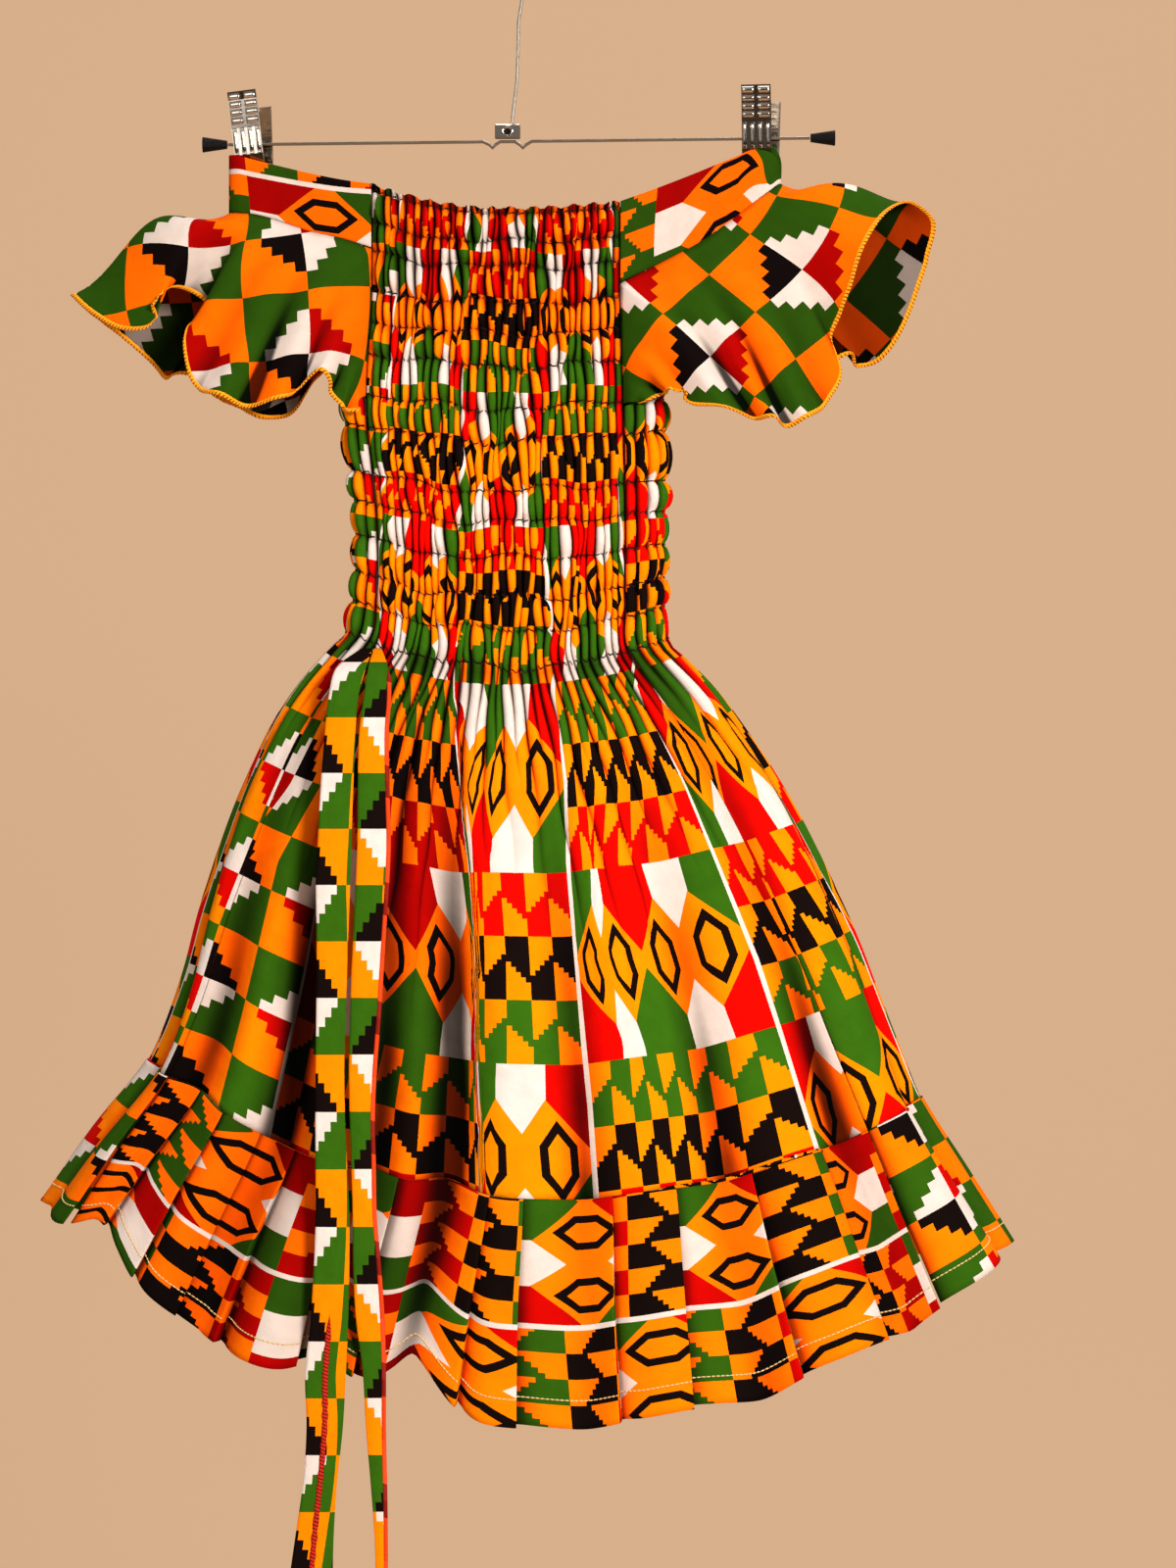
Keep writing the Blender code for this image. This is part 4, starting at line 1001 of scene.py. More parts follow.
frontPanel, frontGrid, frontNormal = addPanel("frontPanel", frontLimits, panelMaking["frontPuffs"],
                                              panelMaking["frontSteps"], 1.0, frontAcross)
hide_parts("front_body")
backPanel, backGrid = addPanel("backPanel", backLimits, panelMaking["backPuffs"],
                               panelMaking["backSteps"], 4.0, backAcross)[:2]
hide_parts("back_body")
print("panels made")

# elastic threads, one wavy stitch line for each shirring row

elasticMaking = {"radius": 0.46, "wander": 1.1, "stand": 0.3}


def addTubes(name, tubes, material):
    # One mesh from several tubes, each as tubeMesh gives it.
    counts = np.cumsum([0] + [len(points) for points, faces, place in tubes])
    return addMesh(name, np.vstack([tube[0] for tube in tubes]),
                   np.vstack([tube[1] + count for tube, count in zip(tubes, counts)]), material,
                   np.vstack([tube[2] for tube in tubes]))


def addElastic(name, limits, puffs, seed):
    # Each row's path follows the puffs' ridges, with a wave a puff long and small loops.
    tubes = []
    for down in shirringRows:
        level = np.array([float(down)])
        grid, normal = panelPoints(limits, puffs, level, seed)[:2]
        path = grid[0] + normal[0] * (elasticMaking["stand"] + dress["clothWall"] / 2)
        step = np.arange(len(path))
        wave = np.sin(step * 2 * math.pi / len(puffPhase) + down) + 0.5 * np.sin(step * 1.9 + 2 * down)
        path[:, 2] += elasticMaking["wander"] * wave * (0.4 + uneven(down, np.floor(step / 9)))
        inner, radius = path[2:-2], elasticMaking["radius"]
        tubes.append(tubeMesh(inner, sameWay(inner, 2), normal[0][2:-2], radius, radius, 4))
    return addTubes(name, tubes, elastic)


frontElastic = addElastic("frontElastic", frontLimits, panelMaking["frontPuffs"], 1.0)
backElastic = addElastic("backElastic", backLimits, panelMaking["backPuffs"], 4.0)
print("elastic made")

# knife-pleated hem tier

tierMaking = {
    "backPleats": 15,
    "hidden": 58.0,       # cloth that a back pleat hides
    "cutAt": 63.0,        # how far across a strip of the print the tier's top edge is cut
    "lowest": 2.6,        # how far a pleat's edge hangs lower at its fold
    "ripple": 0.8,        # how far the hem waves in and out
    "topStep": 1.0,
    "hemStep": 6.5,
    "rows": 34,
    "stitchUp": 14.5,     # the topstitch line's height above the hem
    "stitchLength": 2.6,
    "stitchStand": 0.55,
    "stitchRadius": 0.42,
}


# The front's pleats: where each starts in the picture, and the place along the print at its start and at
# its end. Each hides the cloth up to the next one's start.
frontPleats = np.array([
    (121, 150, 167), (150, 180, 198), (182, 235, 253), (215, 455, 479), (260, 494, 525), (317, 600, 634),
    (380, 696, 754), (487, 764, 784), (525, 829, 884), (629, 943, 982), (700, 1034, 1092), (790, 1156, 1196),
    (866, 1266, 1332),
], float)


def tierPleats(limits, count):
    # The fraction across at which each pleat starts, and its print's start and end.
    fine = np.linspace(0, 1, 400)
    level = np.array([(dress["neckToTier"] + dress["neckToHem"]) / 2])
    angle = panelAngles(limits, level[0], fine)
    points = ring(angle, np.full(400, level[0]))
    if count is None:
        starts = np.interp(frontPleats[:, 0], seenAt(points)[0], fine)
        return np.append(np.append(0, starts[1:]), 1), frontPleats[:, 1], frontPleats[:, 2]
    share = 1 + 0.5 * (uneven(np.arange(count), count) - 0.5)
    share[-2:] *= (1.5, 2.2)
    starts = np.concatenate([[0], np.cumsum(share) / share.sum()])
    shown = np.diff(starts) * alongLength(points)[-1] * 1.05
    printEnd = frontPleats[-1, 2] + np.cumsum(shown + tierMaking["hidden"]) - tierMaking["hidden"]
    return starts, printEnd - shown, printEnd


def tierProfile(starts, printStart, printEnd):
    # For each pleat: across, outward rise and print, out along its face, round the fold and back under.
    across, rise, cloth = [0.0], [0.0], [printStart[0]]
    for i, (start, end) in enumerate(zip(starts, starts[1:])):
        span = end - start
        t = np.array([0.06, 0.16, 0.28, 0.42, 0.56, 0.7, 0.82, 0.91, 0.97, 1.0])
        across += list(start + span * t)
        rise += list(0.9 * np.sin(np.minimum(t / 0.5, 1) * math.pi / 2) + 0.1 * t ** 2)
        cloth += list(printStart[i] + t * (printEnd[i] - printStart[i]))
        if i + 1 < len(printStart):
            across += list(end - np.array([0.1, 0.5, 1.0]) * 0.0022)
            rise += [0.78, 0.4, 0.05]
            hidden = printStart[i + 1] - printEnd[i]
            cloth += list(printEnd[i] + hidden * np.array([0.1, 0.5, 1.0]))
    return np.array(across), np.array(rise), np.array(cloth)


def dashes(grid, normal, row, lift, radius, length):
    # A row of stitches along a grid's row: a tube whose radius falls to nothing between stitches.
    path = grid[row] + normal[row] * lift
    along = alongLength(path)
    count = int(along[-1] / length) * 4
    at = np.linspace(0, along[-1], count + 1)
    path, out = between(at, along, path), unit(between(at, along, normal[row]))
    side = unit(np.cross(np.gradient(path, axis=0), out))
    size = radius * np.where(np.arange(count + 1) % 4 == 0, 0.01, 1.0)
    return tubeMesh(path, side, out, size, size, 4)


def addTier(name, limits, count, cotton):
    starts, printStart, printEnd = tierPleats(limits, count)
    pleats = len(printStart)
    across, rise, cloth = tierProfile(starts, printStart, printEnd)
    fine = np.linspace(0, len(across) - 1, (len(across) - 1) * 2 + 1)
    across, rise, cloth = between(fine, np.arange(len(across)), np.stack([across, rise, cloth], axis=1)).T
    levels = np.linspace(dress["neckToTier"] + 0.15, dress["neckToHem"], tierMaking["rows"])
    # Each fold line leans a little, more towards the hem.
    fall = ((levels - levels[0]) / (levels[-1] - levels[0]))[:, None]
    wander = 0.2 / pleats * fall * np.sin(across * 23 + 1)[None, :] * np.sin(math.pi * across)[None, :]
    grid, smooth, angle = bodyGrid(limits, levels, across[None, :] + wander)
    depth = tierMaking["topStep"] + tierMaking["hemStep"] * fall ** 0.8
    ripple = tierMaking["ripple"] * fall * np.sin(across * 97 + 3 * fall)
    grid = grid + smooth * (depth * rise[None, :] + ripple)[..., None]
    # A pleat's lower edge hangs lowest at its fold.
    grid[..., 2] -= tierMaking["lowest"] * fall * (rise[None, :] - 0.5)
    u = tierMaking["cutAt"] + levels[:, None] - levels[0] + 0 * rise[None, :]
    v = cloth[None, :] * np.ones((len(levels), 1))
    # Painted shade: the turned-under cloth beside each fold is painted deep, and so is the next pleat's
    # start.
    shade = np.interp(angle, skirtPaintedShade[:, 0], skirtPaintedShade[:, 1])
    depth = (0.3 + 0.7 * ease(0, 0.4, rise)[None, :]) * shade
    tier = addCloth(name, grid, np.stack([u, v], axis=-1), cotton, near=5, far=16, folds=(7.0, 24.0),
                    depth=depth)
    stitchRow = int(round((1 - tierMaking["stitchUp"] / (levels[-1] - levels[0])) * (len(levels) - 1)))
    stitches = addTubes(name + "Stitches", [dashes(grid, smooth, stitchRow, tierMaking["stitchStand"],
                                                   tierMaking["stitchRadius"], tierMaking["stitchLength"])],
                        creamThread)
    return tier, stitches, grid


hemFront, hemFrontStitches, hemFrontGrid = addTier("hemFront", frontLimits, None, stripCotton)
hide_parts("hem_front")
hemBack, hemBackStitches = addTier("hemBack", backLimits, tierMaking["backPleats"], checkCotton)[:2]
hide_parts("hem_back")

# from and to are pixels of the picture, cutAt how far across a strip of the print the edge is cut.
seamLipMaking = {"from": 672, "to": 838, "stand": 0.9, "halfWidth": 1.25, "halfHeight": 0.7, "cutAt": 153}


def addSeamLip():
    # Where the tier's seam allowance is turned up, its edge peeps out under the front panel.
    edge = frontGrid[-1]
    x = seenAt(edge)[0]
    kept = (x > seamLipMaking["from"]) & (x < seamLipMaking["to"])
    out = frontNormal[-1][kept]
    path = edge[kept] + out * seamLipMaking["stand"]
    taper = np.sin(np.linspace(0, math.pi, len(path))) ** 0.3
    points, faces, place = tubeMesh(path, sameWay(path, 2), out, seamLipMaking["halfWidth"] * taper + 0.02,
                                    seamLipMaking["halfHeight"] * taper + 0.02, 6)
    place = np.stack([place[:, 0] * 1.6, (seamLipMaking["cutAt"] + 4 * place[:, 1] / mm) * mm], axis=1)
    # The lip gets one painted light level, a little above flat cloth's.
    lip = addMesh("seamLip", points, faces, stripCotton, place, fold=np.full(len(points), 0.6))
    return lip


seamLip = addSeamLip()
print("hem tier made")

# shoulder bands and sleeve flounces

def panelEdge(limits, side, beyond):
    # Degrees beyond a panel's edge, with the way its cloth faces there. side is -1 for the left edge.
    def edge(down):
        down = np.atleast_1d(np.asarray(down, float))
        angle = limits(down)[0 if side < 0 else 1] - side * beyond
        point = ring(angle, down)
        point[:, 2] += dress["seamGap"]
        return point, facing(ring, angle, down)
    return edge


def bandGrid(band, frontEdge, backEdge, depthDown, columns, rows):
    # Rows of points from the band's top edge to its bottom one, smooth along its length.
    grid = []
    for fraction in np.linspace(0, 1, rows):
        frontEnd = frontEdge(fraction * depthDown)[0]
        backEnd = backEdge(fraction * depthDown)[0]
        z = band["top"] + (band["bottom"] - band["top"]) * fraction
        coarse = np.vstack([frontEnd, np.stack([band["x"], band["y"], z], axis=1), backEnd])
        length = alongLength(coarse)
        at = np.linspace(0, length[-1], columns)
        grid.append(np.stack([curve(at, length, coarse[:, axis]) for axis in range(3)], axis=1))
    return np.array(grid)


def resample(points, count):
    length = alongLength(points[:, :3])
    return between(np.linspace(0, length[-1], count), length, points)


def armholePath(band, side, frontEdge, backEdge, depthDown):
    # From the front underarm up the panel, round under the band and down the back panel.
    front = np.hstack(frontEdge(np.linspace(dress["underarmDown"], depthDown + 1, 12)))
    back = np.hstack(backEdge(np.linspace(depthDown + 1, dress["backArmholeEnd"], 16)))
    under = np.stack([band["x"], band["y"], band["bottom"] - dress["seamGap"] - 0.1], axis=1)
    way = np.gradient(under, axis=0)
    face = np.stack([side * way[:, 1], -side * way[:, 0], np.zeros(len(way))], axis=1)
    under = np.vstack([front[-1:], np.hstack([under, unit(face)]), back[:1]])
    path = np.vstack([resample(front, 97)[:-1], resample(under, 196), resample(back, 108)[1:]])
    return path[:, :3], unit(path[:, 3:])


flounceMaking = {
    "columns": 460,
    "rows": 30,
    "coarse": 56,       # columns on which the free edge is smoothed, and how many of them to each side
    "smoothing": 9,
    "stand": 5.0,
    "wave": 4.2,
    "waves": 11,
    "waveReach": 1.4,
    "overlock": (1.5, 0.75, 0.08),   # half width, half height and how wavy
}


def flounceGrid(edgeTable, pathAndFace, columns, rows):
    # From the seam the cloth first stands away from the body. Its waves grow towards the free edge.
    along = edgeTable["along"]
    knots = np.arange(len(along))
    coarseColumns = flounceMaking["coarse"]
    coarseWalk = np.interp(np.linspace(0, len(along) - 1, coarseColumns), knots, along)
    walk = np.interp(np.linspace(0, len(along) - 1, columns), knots, along)
    path, pathFace = pathAndFace
    places = np.linspace(0, 1, len(path))
    seam, face = between(walk, places, path), between(walk, places, pathFace)
    free = np.stack([curve(walk, along, edgeTable[name]) for name in "xyz"], axis=1)
    lift = curve(walk, along, edgeTable["lift"])
    smoothing = flounceMaking["smoothing"]
    coarse = np.stack([curve(coarseWalk, along, edgeTable[name]) for name in "xyz"], axis=1)
    padded = np.pad(coarse, ((smoothing, smoothing), (0, 0)), mode="reflect", reflect_type="odd")
    window = np.hanning(2 * smoothing + 3)[1:-1]
    window /= window.sum()
    plain = np.stack([np.convolve(padded[:, axis], window, mode="valid") for axis in range(3)], axis=1)
    plain = between(np.linspace(0, coarseColumns - 1, columns), np.arange(coarseColumns), plain)
    reach = np.linspace(0, 1, rows)[:, None, None]
    grid = seam + (plain - seam) * reach + (free - plain) * reach ** 2
    # reach (1 - reach)^2 is at most 1 / 6.75.
    grid = grid + face * flounceMaking["stand"] * 6.75 * reach * (1 - reach) ** 2
    grid[..., 2] += lift * np.sin(math.pi * reach[..., 0]) ** 2
    # Waves of the flared cloth, growing to the free edge: sine of the way along, times a power of reach.
    way = walk[None, :, None] * 2 * math.pi
    waves = np.sin(way * flounceMaking["waves"] + 1.3 * np.sin(way * 3)) * flounceMaking["wave"]
    ends = np.clip(np.minimum(walk, 1 - walk) / 0.06, 0, 1)[None, :, None]
    return grid + outward(grid) * waves * reach ** flounceMaking["waveReach"] * ends


def unwrapped(grid, flip, anchors):
    # The cloth laid flat by an unwrap that stretches it least, then scaled and turned so that two anchors'
    # places in the picture get their places on the print.
    rows, columns = grid.shape[:2]
    faces = gridFaces(rows, columns)
    mesh = bpy.data.meshes.new("unwrapping")
    mesh.from_pydata(grid.reshape(-1, 3).tolist(), [], faces.tolist())
    thing = bpy.data.objects.new("unwrapping", mesh)
    bpy.context.scene.collection.objects.link(thing)
    bpy.context.view_layer.objects.active = thing
    thing.select_set(True)
    bpy.ops.object.mode_set(mode="EDIT")
    bpy.ops.mesh.select_all(action="SELECT")
    bpy.ops.uv.unwrap(method="MINIMUM_STRETCH", fill_holes=False, margin=0.0, iterations=12)
    bpy.ops.object.mode_set(mode="OBJECT")
    loops = np.zeros(len(mesh.loops) * 2)
    mesh.uv_layers.active.data.foreach_get("uv", loops)
    flat = np.zeros((rows * columns, 2))
    flat[faces.ravel()] = loops.reshape(-1, 2)
    bpy.data.objects.remove(thing)
    flat = flat.reshape(rows, columns, 2)
    x, y = seenAt(grid)
    hidden = np.where(grid[..., 1] > 10, 1e6, 0)
    near = [np.unravel_index(((x - seenX) ** 2 + (y - seenY) ** 2 + hidden).argmin(), x.shape)
            for (seenX, seenY), want in anchors]
    (a, b), (wantA, wantB) = [flat[i] for i in near], [np.array(want, float) for place, want in anchors]
    # Mirrored if need be, so that u runs to the right and v down as the print does.
    edge = flat[1, 0] - flat[0, 0], flat[0, 1] - flat[0, 0]
    turned = edge[0][0] * edge[1][1] - edge[0][1] * edge[1][0]
    if (turned < 0) == flip:
        flat = flat * (1, -1)
        a, b = a * (1, -1), b * (1, -1)
    turn = math.atan2(*(wantB - wantA)[::-1]) - math.atan2(*(b - a)[::-1])
    scale = np.linalg.norm(wantB - wantA) / np.linalg.norm(b - a)
    cosine, sine = math.cos(turn) * scale, math.sin(turn) * scale
    return (flat - a) @ np.array([[cosine, sine], [-sine, cosine]]) + wantA


def edgeTube(grid, row, inward, halfWidth, halfHeight, wavy):
    # A flat tube along a grid's row, its width pointing across the row towards the cloth's inside.
    path = grid[row]
    side = unit(grid[inward] - path)
    out = unit(np.cross(np.gradient(path, axis=0), side))
    path = path + side * halfWidth * 0.55
    size = halfWidth * (1 + wavy * np.sin(alongLength(path) * 2.9))
    return tubeMesh(path, -side, out, size, np.full(len(path), halfHeight), 8)


def addSleeve(name, side, band, edgeTable, depthDown, anchors):
    frontEdge = panelEdge(frontLimits, side, 0.3)
    backEdge = panelEdge(backLimits, -side, 0.7)
    grid = bandGrid(band, frontEdge, backEdge, depthDown, bandMaking["columns"], bandMaking["rows"])
    deep = alongLength(grid.transpose(1, 0, 2)).T
    middle = grid[bandMaking["rows"] // 2]
    x = seenAt(middle)[0]
    # The print runs leftwards on both bands, from a known place on the front.
    length = alongLength(middle) * bandMaking["stretch"]
    start, want = bandMaking["place" + name]
    front = np.abs(x - start)[:bandMaking["columns"] // 2].argmin()
    v = want + (length - length[front]) * (-side)
    taper = np.interp(x, [235, 378], bandMaking["lineLeft"]) if side < 0 else 0 * x + bandMaking["lineRight"]
    u = deep - taper[None, :] + 128
    bandPiece = addCloth("band" + name, grid, np.stack([u, v[None, :] + 0 * deep], axis=-1), bandCotton,
                         side < 0, near=3, far=12, folds=(1.5, 5.0))
    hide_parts("band_" + name.lower())
    path = armholePath(band, side, frontEdge, backEdge, depthDown)
    flounce = flounceGrid(edgeTable, path, flounceMaking["columns"], flounceMaking["rows"])
    place = unwrapped(flounce, side < 0, anchors)
    flouncePiece = addCloth("flounce" + name, flounce, place, flounceCotton, side < 0, near=6, far=24,
                            folds=(1.6, 6.0), inside=flounceInsideShadeCotton)
    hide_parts("flounce_" + name.lower())
    edging = addTubes("overlock" + name, [edgeTube(flounce, -1, -2, *flounceMaking["overlock"])],
                      overlockThread)
    return bandPiece, flouncePiece, edging


bandMaking = {
    "columns": 150,
    "rows": 22,
    "stretch": 1.16,               # cloth for each millimetre of band
    "lineLeft": (9.3, 4.5),        # the cream line's depth below the left band's top edge, at its two ends
    "placeLeft": (332, 153.0),     # a place on the front, and where along the print it is
    "placeRight": (668, 0.0),
    "lineRight": -6.0,
}
# Each sleeve with how far down the panel its band reaches, and two places in the picture with their places
# on the print.
bandLeft, flounceLeft, overlockLeft = addSleeve(
    "Left", -1, leftBand, leftFlounce, 32, (((315, 361), (0, 0)), ((315, 300), (0, -33))))
bandRight, flounceRight, overlockRight = addSleeve(
    "Right", 1, rightBand, rightFlounce, 45, (((724, 361), (0, 0)), ((768, 319), (0, -33))))
print("bands and flounces made")

# ties

tieMaking = {
    "levels": 22,
    "squares": (18, 30),        # how wide and high a square of the print shows, and the chart's own squares
    "chartSquares": (32, 34),
    "curl": 0.6,                # how far a tie's middle stands forward
    "overlock": (1.5, 0.6, 0.2),    # half width, half height and how wavy
    "fold": (1.2, 0.7, 0.0),
}
frontSkin = np.vstack([frontGrid.reshape(-1, 3), backGrid.reshape(-1, 3), hemFrontGrid.reshape(-1, 3)])


def frontmost(x, z, reach):
    near = (np.abs(frontSkin[:, 0] - x) < reach) & (np.abs(frontSkin[:, 2] - z) < reach + 3)
    return frontSkin[near, 1].min() if near.any() else None


def addTie(name, tie, offset, node, printAt):
    # The top end lies on the cloth at the waist. Below it the tie hangs clear of the folds.
    top, low = tie["z"][0], tie["z"][-1]
    count = tieMaking["levels"]
    levels = top + (low - top) * np.linspace(0, 1, count) ** 1.25
    order = np.argsort(tie["z"])
    left = np.interp(levels, tie["z"][order], tie["left"][order])
    right = np.interp(levels, tie["z"][order], tie["right"][order])
    depth = []
    for z, x in zip(levels, (left + right) / 2):
        found = frontmost(x, z, 13)
        depth.append(depth[-1] if found is None else found - offset)
    depth = np.pad(np.minimum.accumulate(np.array(depth)), (0, 2), mode="edge")
    depth = np.minimum(depth[:-2], np.minimum(depth[1:-1], depth[2:]))
    depth = np.convolve(np.pad(depth, 1, mode="edge"), np.ones(3) / 3, mode="valid") - 1
    depth[0] = frontmost((left[0] + right[0]) / 2, levels[0], 3) - 1.5
    fine, knots = np.linspace(0, count - 1, 190), np.arange(float(count))
    leftFine, rightFine, depthFine, zFine = (curve(fine, knots, v) for v in (left, right, depth, levels))
    acrossTie = np.linspace(0, 1, 13)
    x = leftFine[:, None] + (rightFine - leftFine)[:, None] * acrossTie[None, :]
    y = depthFine[:, None] - tieMaking["curl"] * np.sin(math.pi * acrossTie)[None, :]
    z = zFine[:, None] + 0 * x
    grid = np.stack([x, y, z], axis=-1)
    (wide, high), (chartWide, chartHigh) = tieMaking["squares"], tieMaking["chartSquares"]
    u = (x - x[:, :1]) * chartWide / wide + printAt[0]
    v = (top - z) * chartHigh / high + printAt[1] + 0 * u
    piece = addCloth(name, grid, np.stack([u, v], axis=-1), tieCotton, near=3, far=6)
    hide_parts(node)
    return piece, grid


def alongTie(name, grid, column, firstZ, material, halfWidth, halfHeight, wavy):
    # A stitched or folded edge that runs down a tie to its end, proud of its front.
    path = grid[:, column]
    path = path[(path[:, 2] < firstZ) & (path[:, 2] > path[-1, 2] + 0.5)] + (0, -0.5, 0)
    side = sameWay(path, 0)
    out = unit(np.cross(side, np.gradient(path, axis=0)))
    taper = np.clip(np.minimum(np.arange(len(path)), np.arange(len(path))[::-1]) / 3, 0.02, 1)
    size = halfWidth * (1 + wavy * np.sin(alongLength(path) * 3.1)) * taper
    return addTubes(name, [tubeMesh(path, side, out, size, halfHeight * taper, 8)], material)


tieLeft, tieLeftGrid = addTie("tieLeft", leftTie, 3.6, "tie_left", (3, -9))
tieRight, tieRightGrid = addTie("tieRight", rightTie, 2.0, "tie_right", (38, 25))
tieOverlock = alongTie("tieOverlock", tieLeftGrid, 6, -633, redThread, *tieMaking["overlock"])
tieFold = alongTie("tieFold", tieRightGrid, -1, -292, tieFoldCotton, *tieMaking["fold"])
print("ties made")

# hanger

hangerMaking = {
    "coilTurns": 7,
    "coilWire": 0.55,
    "rivet": 3.4,
    "clipLeft": (4.7, 16),     # each clip's tilt and turn, in degrees
    "clipRight": (-0.5, 12),
    "pills": (25.85, 21.45, 17.05, 12.65),   # heights above the coil
    "pill": (4.4, 3.55, 1.85),               # how far from the middle, half length and half width
    "longRibs": (-6.6, -2.2, 2.2, 6.6),      # how far from the middle
    "longRib": (1.3, 7.1, 1.2),              # height, half length and half width
    "ribHeight": 1.2,
    "jawHeights": (-22, -19, -14, -4, 1, 5, 24, 28.5),
    "jawDepths": (1.05, 1.05, 2.2, 4.4, 4.4, 5.0, 7.4, 8.4),
}

for node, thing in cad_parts.items():
    finish = None
    if node in ("hanger_bar", "hook"):
        finish = wire
    elif node.startswith(("bracket", "clip")):
        finish = chrome
    elif node.startswith("cap"):
        finish = rubber
    for slotPlace in thing.material_slots:
        if finish:
            slotPlace.material = finish


def addCoil(side):
    # A clip's spring: a helix of wire round the bar, radius cos and radius sin round its box's middle line.
    low, high = fromBar(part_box(f"clip_{side}_spring"))
    turns, wireRadius = hangerMaking["coilTurns"], hangerMaking["coilWire"]
    count = turns * 16 + 1
    turn = np.linspace(0, turns * 2 * math.pi, count)
    radius = (high[2] - low[2]) / 2 - wireRadius
    middle = (low + high) / 2
    x = np.linspace(low[0] + wireRadius, high[0] - wireRadius, count)
    path = np.stack([x, middle[1] + radius * np.cos(turn), middle[2] + radius * np.sin(turn)], axis=1)
    out = np.stack([0 * turn, np.cos(turn), np.sin(turn)], axis=1)
    along = unit(np.gradient(path, axis=0))
    size = np.full(count, wireRadius)
    size[[0, -1]] = 0.02
    tube = tubeMesh(path, unit(np.cross(along, out)), out, size, size, 8)
    coil = addTubes("spring" + side.capitalize(), [tube], wire)
    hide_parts(f"clip_{side}_spring")


def addRibs(side):
    # The pressed ribs of a clip's front jaw, rounded: four rows of two pills over four long ribs. Each is an
    # oval tube whose size falls to nothing at its ends, as (1 - s^6)^0.5.
    low, high = fromBar(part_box(f"clip_{side}_spring"))
    middle = (low + high) / 2
    lean, turn = (math.radians(angle) for angle in hangerMaking["clip" + side.capitalize()])
    across = np.array([math.cos(lean) * math.cos(turn), -math.cos(lean) * math.sin(turn), math.sin(lean)])
    upward = np.array([-math.sin(lean) * math.cos(turn), math.sin(lean) * math.sin(turn), math.cos(lean)])
    forward = -np.array([math.sin(turn), math.cos(turn), 0.0])
    s = np.linspace(-1, 1, 17)
    taper = (1 - s ** 6) ** 0.5 + 0.02
    away, long, wide = hangerMaking["pill"]
    ribs = [(middleU + long * s, height + 0 * s, upward, wide) for height in hangerMaking["pills"]
            for middleU in (-away, away)]
    height, long, wide = hangerMaking["longRib"]
    ribs += [(u + 0 * s, height + long * s, -across, wide) for u in hangerMaking["longRibs"]]
    tubes = []
    for u, z, sideways, half in ribs:
        ends = np.interp(z[[0, -1]], hangerMaking["jawHeights"], hangerMaking["jawDepths"])
        stand = ends[0] + (ends[1] - ends[0]) * (s + 1) / 2 + 1.0
        path = middle + u[:, None] * across + z[:, None] * upward + stand[:, None] * forward
        tubes.append(tubeMesh(path, np.tile(sideways, (len(s), 1)), np.tile(forward, (len(s), 1)),
                              half * taper, hangerMaking["ribHeight"] * taper, 14))
    addTubes("ribs" + side.capitalize(), tubes, chrome)


def addRivet():
    # The bracket's riveted hole: a rolled rim and the well inside it, as a profile turned about Y, with a
    # dark disc of painted shade in the well.
    low, high = fromBar(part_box("bracket"))
    middle = (low + high) / 2
    size = hangerMaking["rivet"]
    # Shares of the rivet's radius, and heights.
    profile = np.array([(0.02, -0.05), (0.55, -0.05), (0.62, -0.5), (0.8, -0.7), (0.98, -0.45), (1.0, 0.1)])
    turn = np.linspace(0, 2 * math.pi, 33)
    radius, rise = profile[:, :1] * size, profile[:, 1:] * 0.9
    points = np.stack([middle[0] + radius * np.cos(turn), low[1] + rise + 0 * turn,
                       middle[2] + radius * np.sin(turn)], axis=-1)
    faces = gridFaces(len(profile), 33)
    addMesh("bracketRivet", points.reshape(-1, 3), faces[:, ::-1], chrome)
    # The dark disc is painted shade, drawn with the rubber material.
    hole = np.stack([middle[0] + 0.54 * size * np.cos(turn[:-1]), 0 * turn[:-1] + low[1] - 0.2,
                     middle[2] + 0.54 * size * np.sin(turn[:-1])], axis=-1)
    centre = np.array([[middle[0], low[1] - 0.2, middle[2]]])
    corner = np.arange(32)
    fan = np.stack([np.full(32, 32), corner, (corner + 1) % 32], axis=1)
    addMesh("bracketHoleShade", np.vstack([hole, centre]), fan, rubber)


for side in ("left", "right"):
    addCoil(side)
for side in ("left", "right"):
    addRibs(side)
addRivet()
print("hanger finished")

# what each piece of cloth was cut to, counting only the cloth that shows

# stage, light and camera

stageMaking = {
    "paint": "#6E5846",
    "glow": "#D5B08D",
    "glowStrength": 0.81,
    "surround": ("#6A543F", "#FFF6EC"),   # the light that comes from below and from above
    "surroundStrength": 0.34,
    "floor": -1.6,                        # in metres, as the rest
    "front": -3.0,
    "wall": 2.2,
    "top": 3.0,
    "corner": 0.6,
    "halfWidth": 5.5,
}


def stagePaper():
    # Seamless backdrop paper, matt, lit evenly from behind as in a studio: most of its light is its own, so
    # that the lamps in front leave no bright or dark places on it.
    material, tree = startMaterial("backdropPaper")
    shader = addNode(tree, "ShaderNodeBsdfPrincipled", None,
                     {"Base Color": linear(stageMaking["paint"]), "Roughness": 0.95,
                      "Specular IOR Level": 0.0, "Emission Color": linear(stageMaking["glow"]),
                      "Emission Strength": stageMaking["glowStrength"]})
    # Seen from behind it isn't there, so that the dress can be looked at from all round.
    clear = addNode(tree, "ShaderNodeBsdfTransparent")
    behind = addNode(tree, "ShaderNodeNewGeometry").node.outputs["Backfacing"]
    either = addNode(tree, "ShaderNodeMixShader", None, {0: behind, 1: shader, 2: clear})
    addNode(tree, "ShaderNodeOutputMaterial", None, {"Surface": either})
    return material


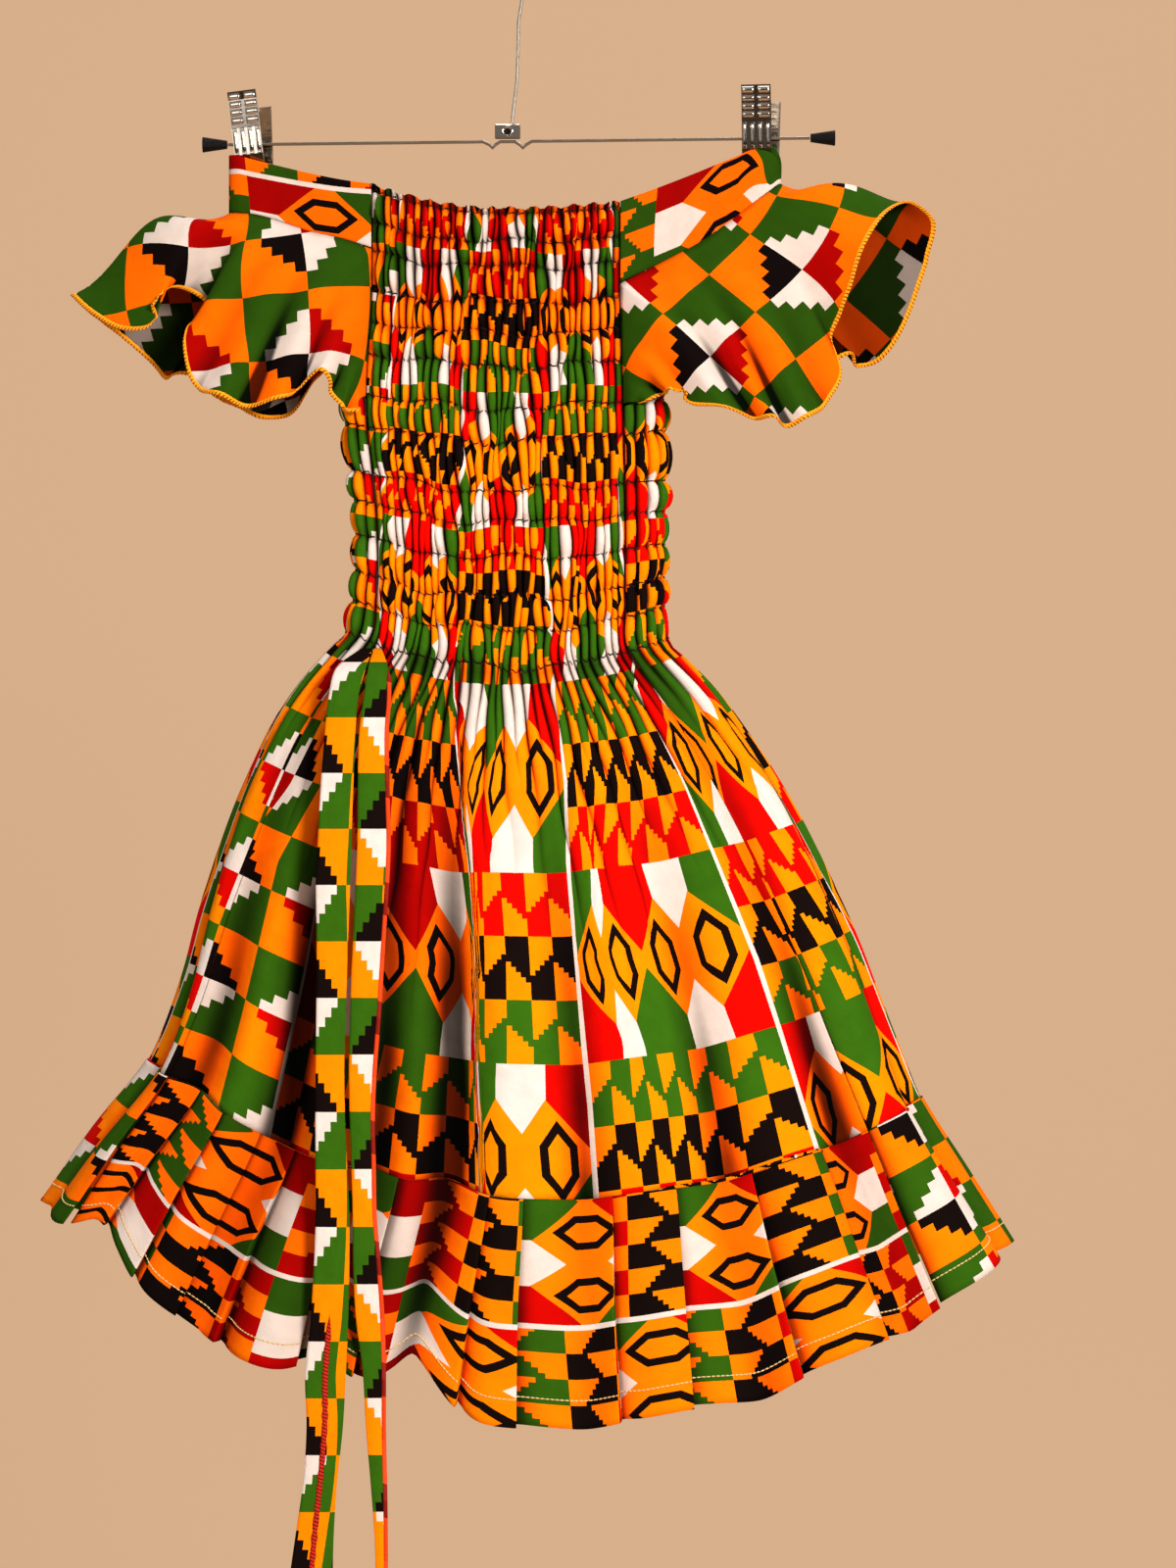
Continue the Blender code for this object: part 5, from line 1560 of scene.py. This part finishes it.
def addStage():
    # A plain sweep: floor, a round corner and wall, well behind and below the dress.
    floor, wall, corner = (stageMaking[key] for key in ("floor", "wall", "corner"))
    profile = [(stageMaking["front"], floor), (wall - corner, floor)]
    for degrees in range(10, 91, 10):
        turn = math.radians(degrees)
        profile.append((wall - corner * (1 - math.sin(turn)), floor + corner * (1 - math.cos(turn))))
    profile.append((wall, stageMaking["top"]))
    half = stageMaking["halfWidth"]
    vertices = [(x, y, z) for y, z in profile for x in (-half, half)]
    faces = [(2 * i, 2 * i + 1, 2 * i + 3, 2 * i + 2) for i in range(len(profile) - 1)]
    mesh = bpy.data.meshes.new("stage")
    mesh.from_pydata(vertices, [], faces)
    mesh.shade_smooth()
    mesh.materials.append(stagePaper())
    stage = bpy.data.objects.new("stage", mesh)
    bpy.context.scene.collection.objects.link(stage)


def addLight(name, place, aim, size, power, colour):
    # A round soft lamp: place and aim in metres, size across, power in watts.
    data = bpy.data.lights.new(name, "AREA")
    data.shape = "DISK"
    data.size = size
    data.energy = power
    data.color = linear(colour)[:3]
    light = bpy.data.objects.new(name, data)
    light.location = place
    direction = Vector(aim) - Vector(place)
    light.rotation_euler = direction.to_track_quat("-Z", "Y").to_euler()
    bpy.context.scene.collection.objects.link(light)


addStage()
addLight("key", (1.0, -2.2, 0.25), (0, 0, -0.55), 0.6, 75, "#FFF9F2")
addLight("fill", (-1.7, -2.2, 0.4), (0, 0, -0.5), 1.6, 14, "#FFFAF5")
addLight("top", (0.1, 0.2, 1.5), (0, 0.1, -0.6), 1.2, 14, "#FFFFFF")
addLight("behind", (0.6, 1.5, 1.3), (0, 0, -0.5), 1.0, 12, "#FFFAF5")

world = bpy.data.worlds.new("studio")
world.use_nodes = True
# A studio's soft surround, light above and darker towards the floor, which gives metal its contrast.
worldTree = world.node_tree
upward = addNode(worldTree, "ShaderNodeSeparateXYZ", None,
                 {0: addNode(worldTree, "ShaderNodeTexCoord").node.outputs["Generated"]}).node.outputs[2]
height = addNode(worldTree, "ShaderNodeMapRange", None, {"Value": upward, "From Min": -0.12, "From Max": 0.3})
fromBelow, fromAbove = stageMaking["surround"]
surround = addNode(worldTree, "ShaderNodeMix", {"data_type": "RGBA"},
                   {0: height, 6: linear(fromBelow), 7: linear(fromAbove)})
lighting = addNode(worldTree, "ShaderNodeBackground", None,
                   {"Color": surround, "Strength": stageMaking["surroundStrength"]})
# The room itself looks like the paper, from wherever the dress is seen.
room = addNode(worldTree, "ShaderNodeBackground", None,
               {"Color": linear(stageMaking["glow"]), "Strength": stageMaking["glowStrength"]})
direct = addNode(worldTree, "ShaderNodeLightPath").node.outputs["Is Camera Ray"]
whole = addNode(worldTree, "ShaderNodeMixShader", None, {0: direct, 1: lighting, 2: room})
worldTree.links.new(whole, worldTree.nodes["World Output"].inputs[0])
bpy.context.scene.world = world
bpy.context.scene.view_settings.view_transform = "Standard"

cameraData = bpy.data.cameras.new("camera")
cameraData.lens = cameraData.sensor_width * viewer["distance"] / (viewer["pixelsHigh"] * viewer["pixel"])
cameraData.clip_start, cameraData.clip_end = 0.05, 30
camera = bpy.data.objects.new("camera", cameraData)
camera.location = (viewer["x"] * mm, -viewer["distance"] * mm, (viewer["z"] + barHeight) * mm)
camera.rotation_euler = (math.pi / 2, 0, 0)
bpy.context.scene.collection.objects.link(camera)
bpy.context.scene.camera = camera
print("stage, light and camera made")
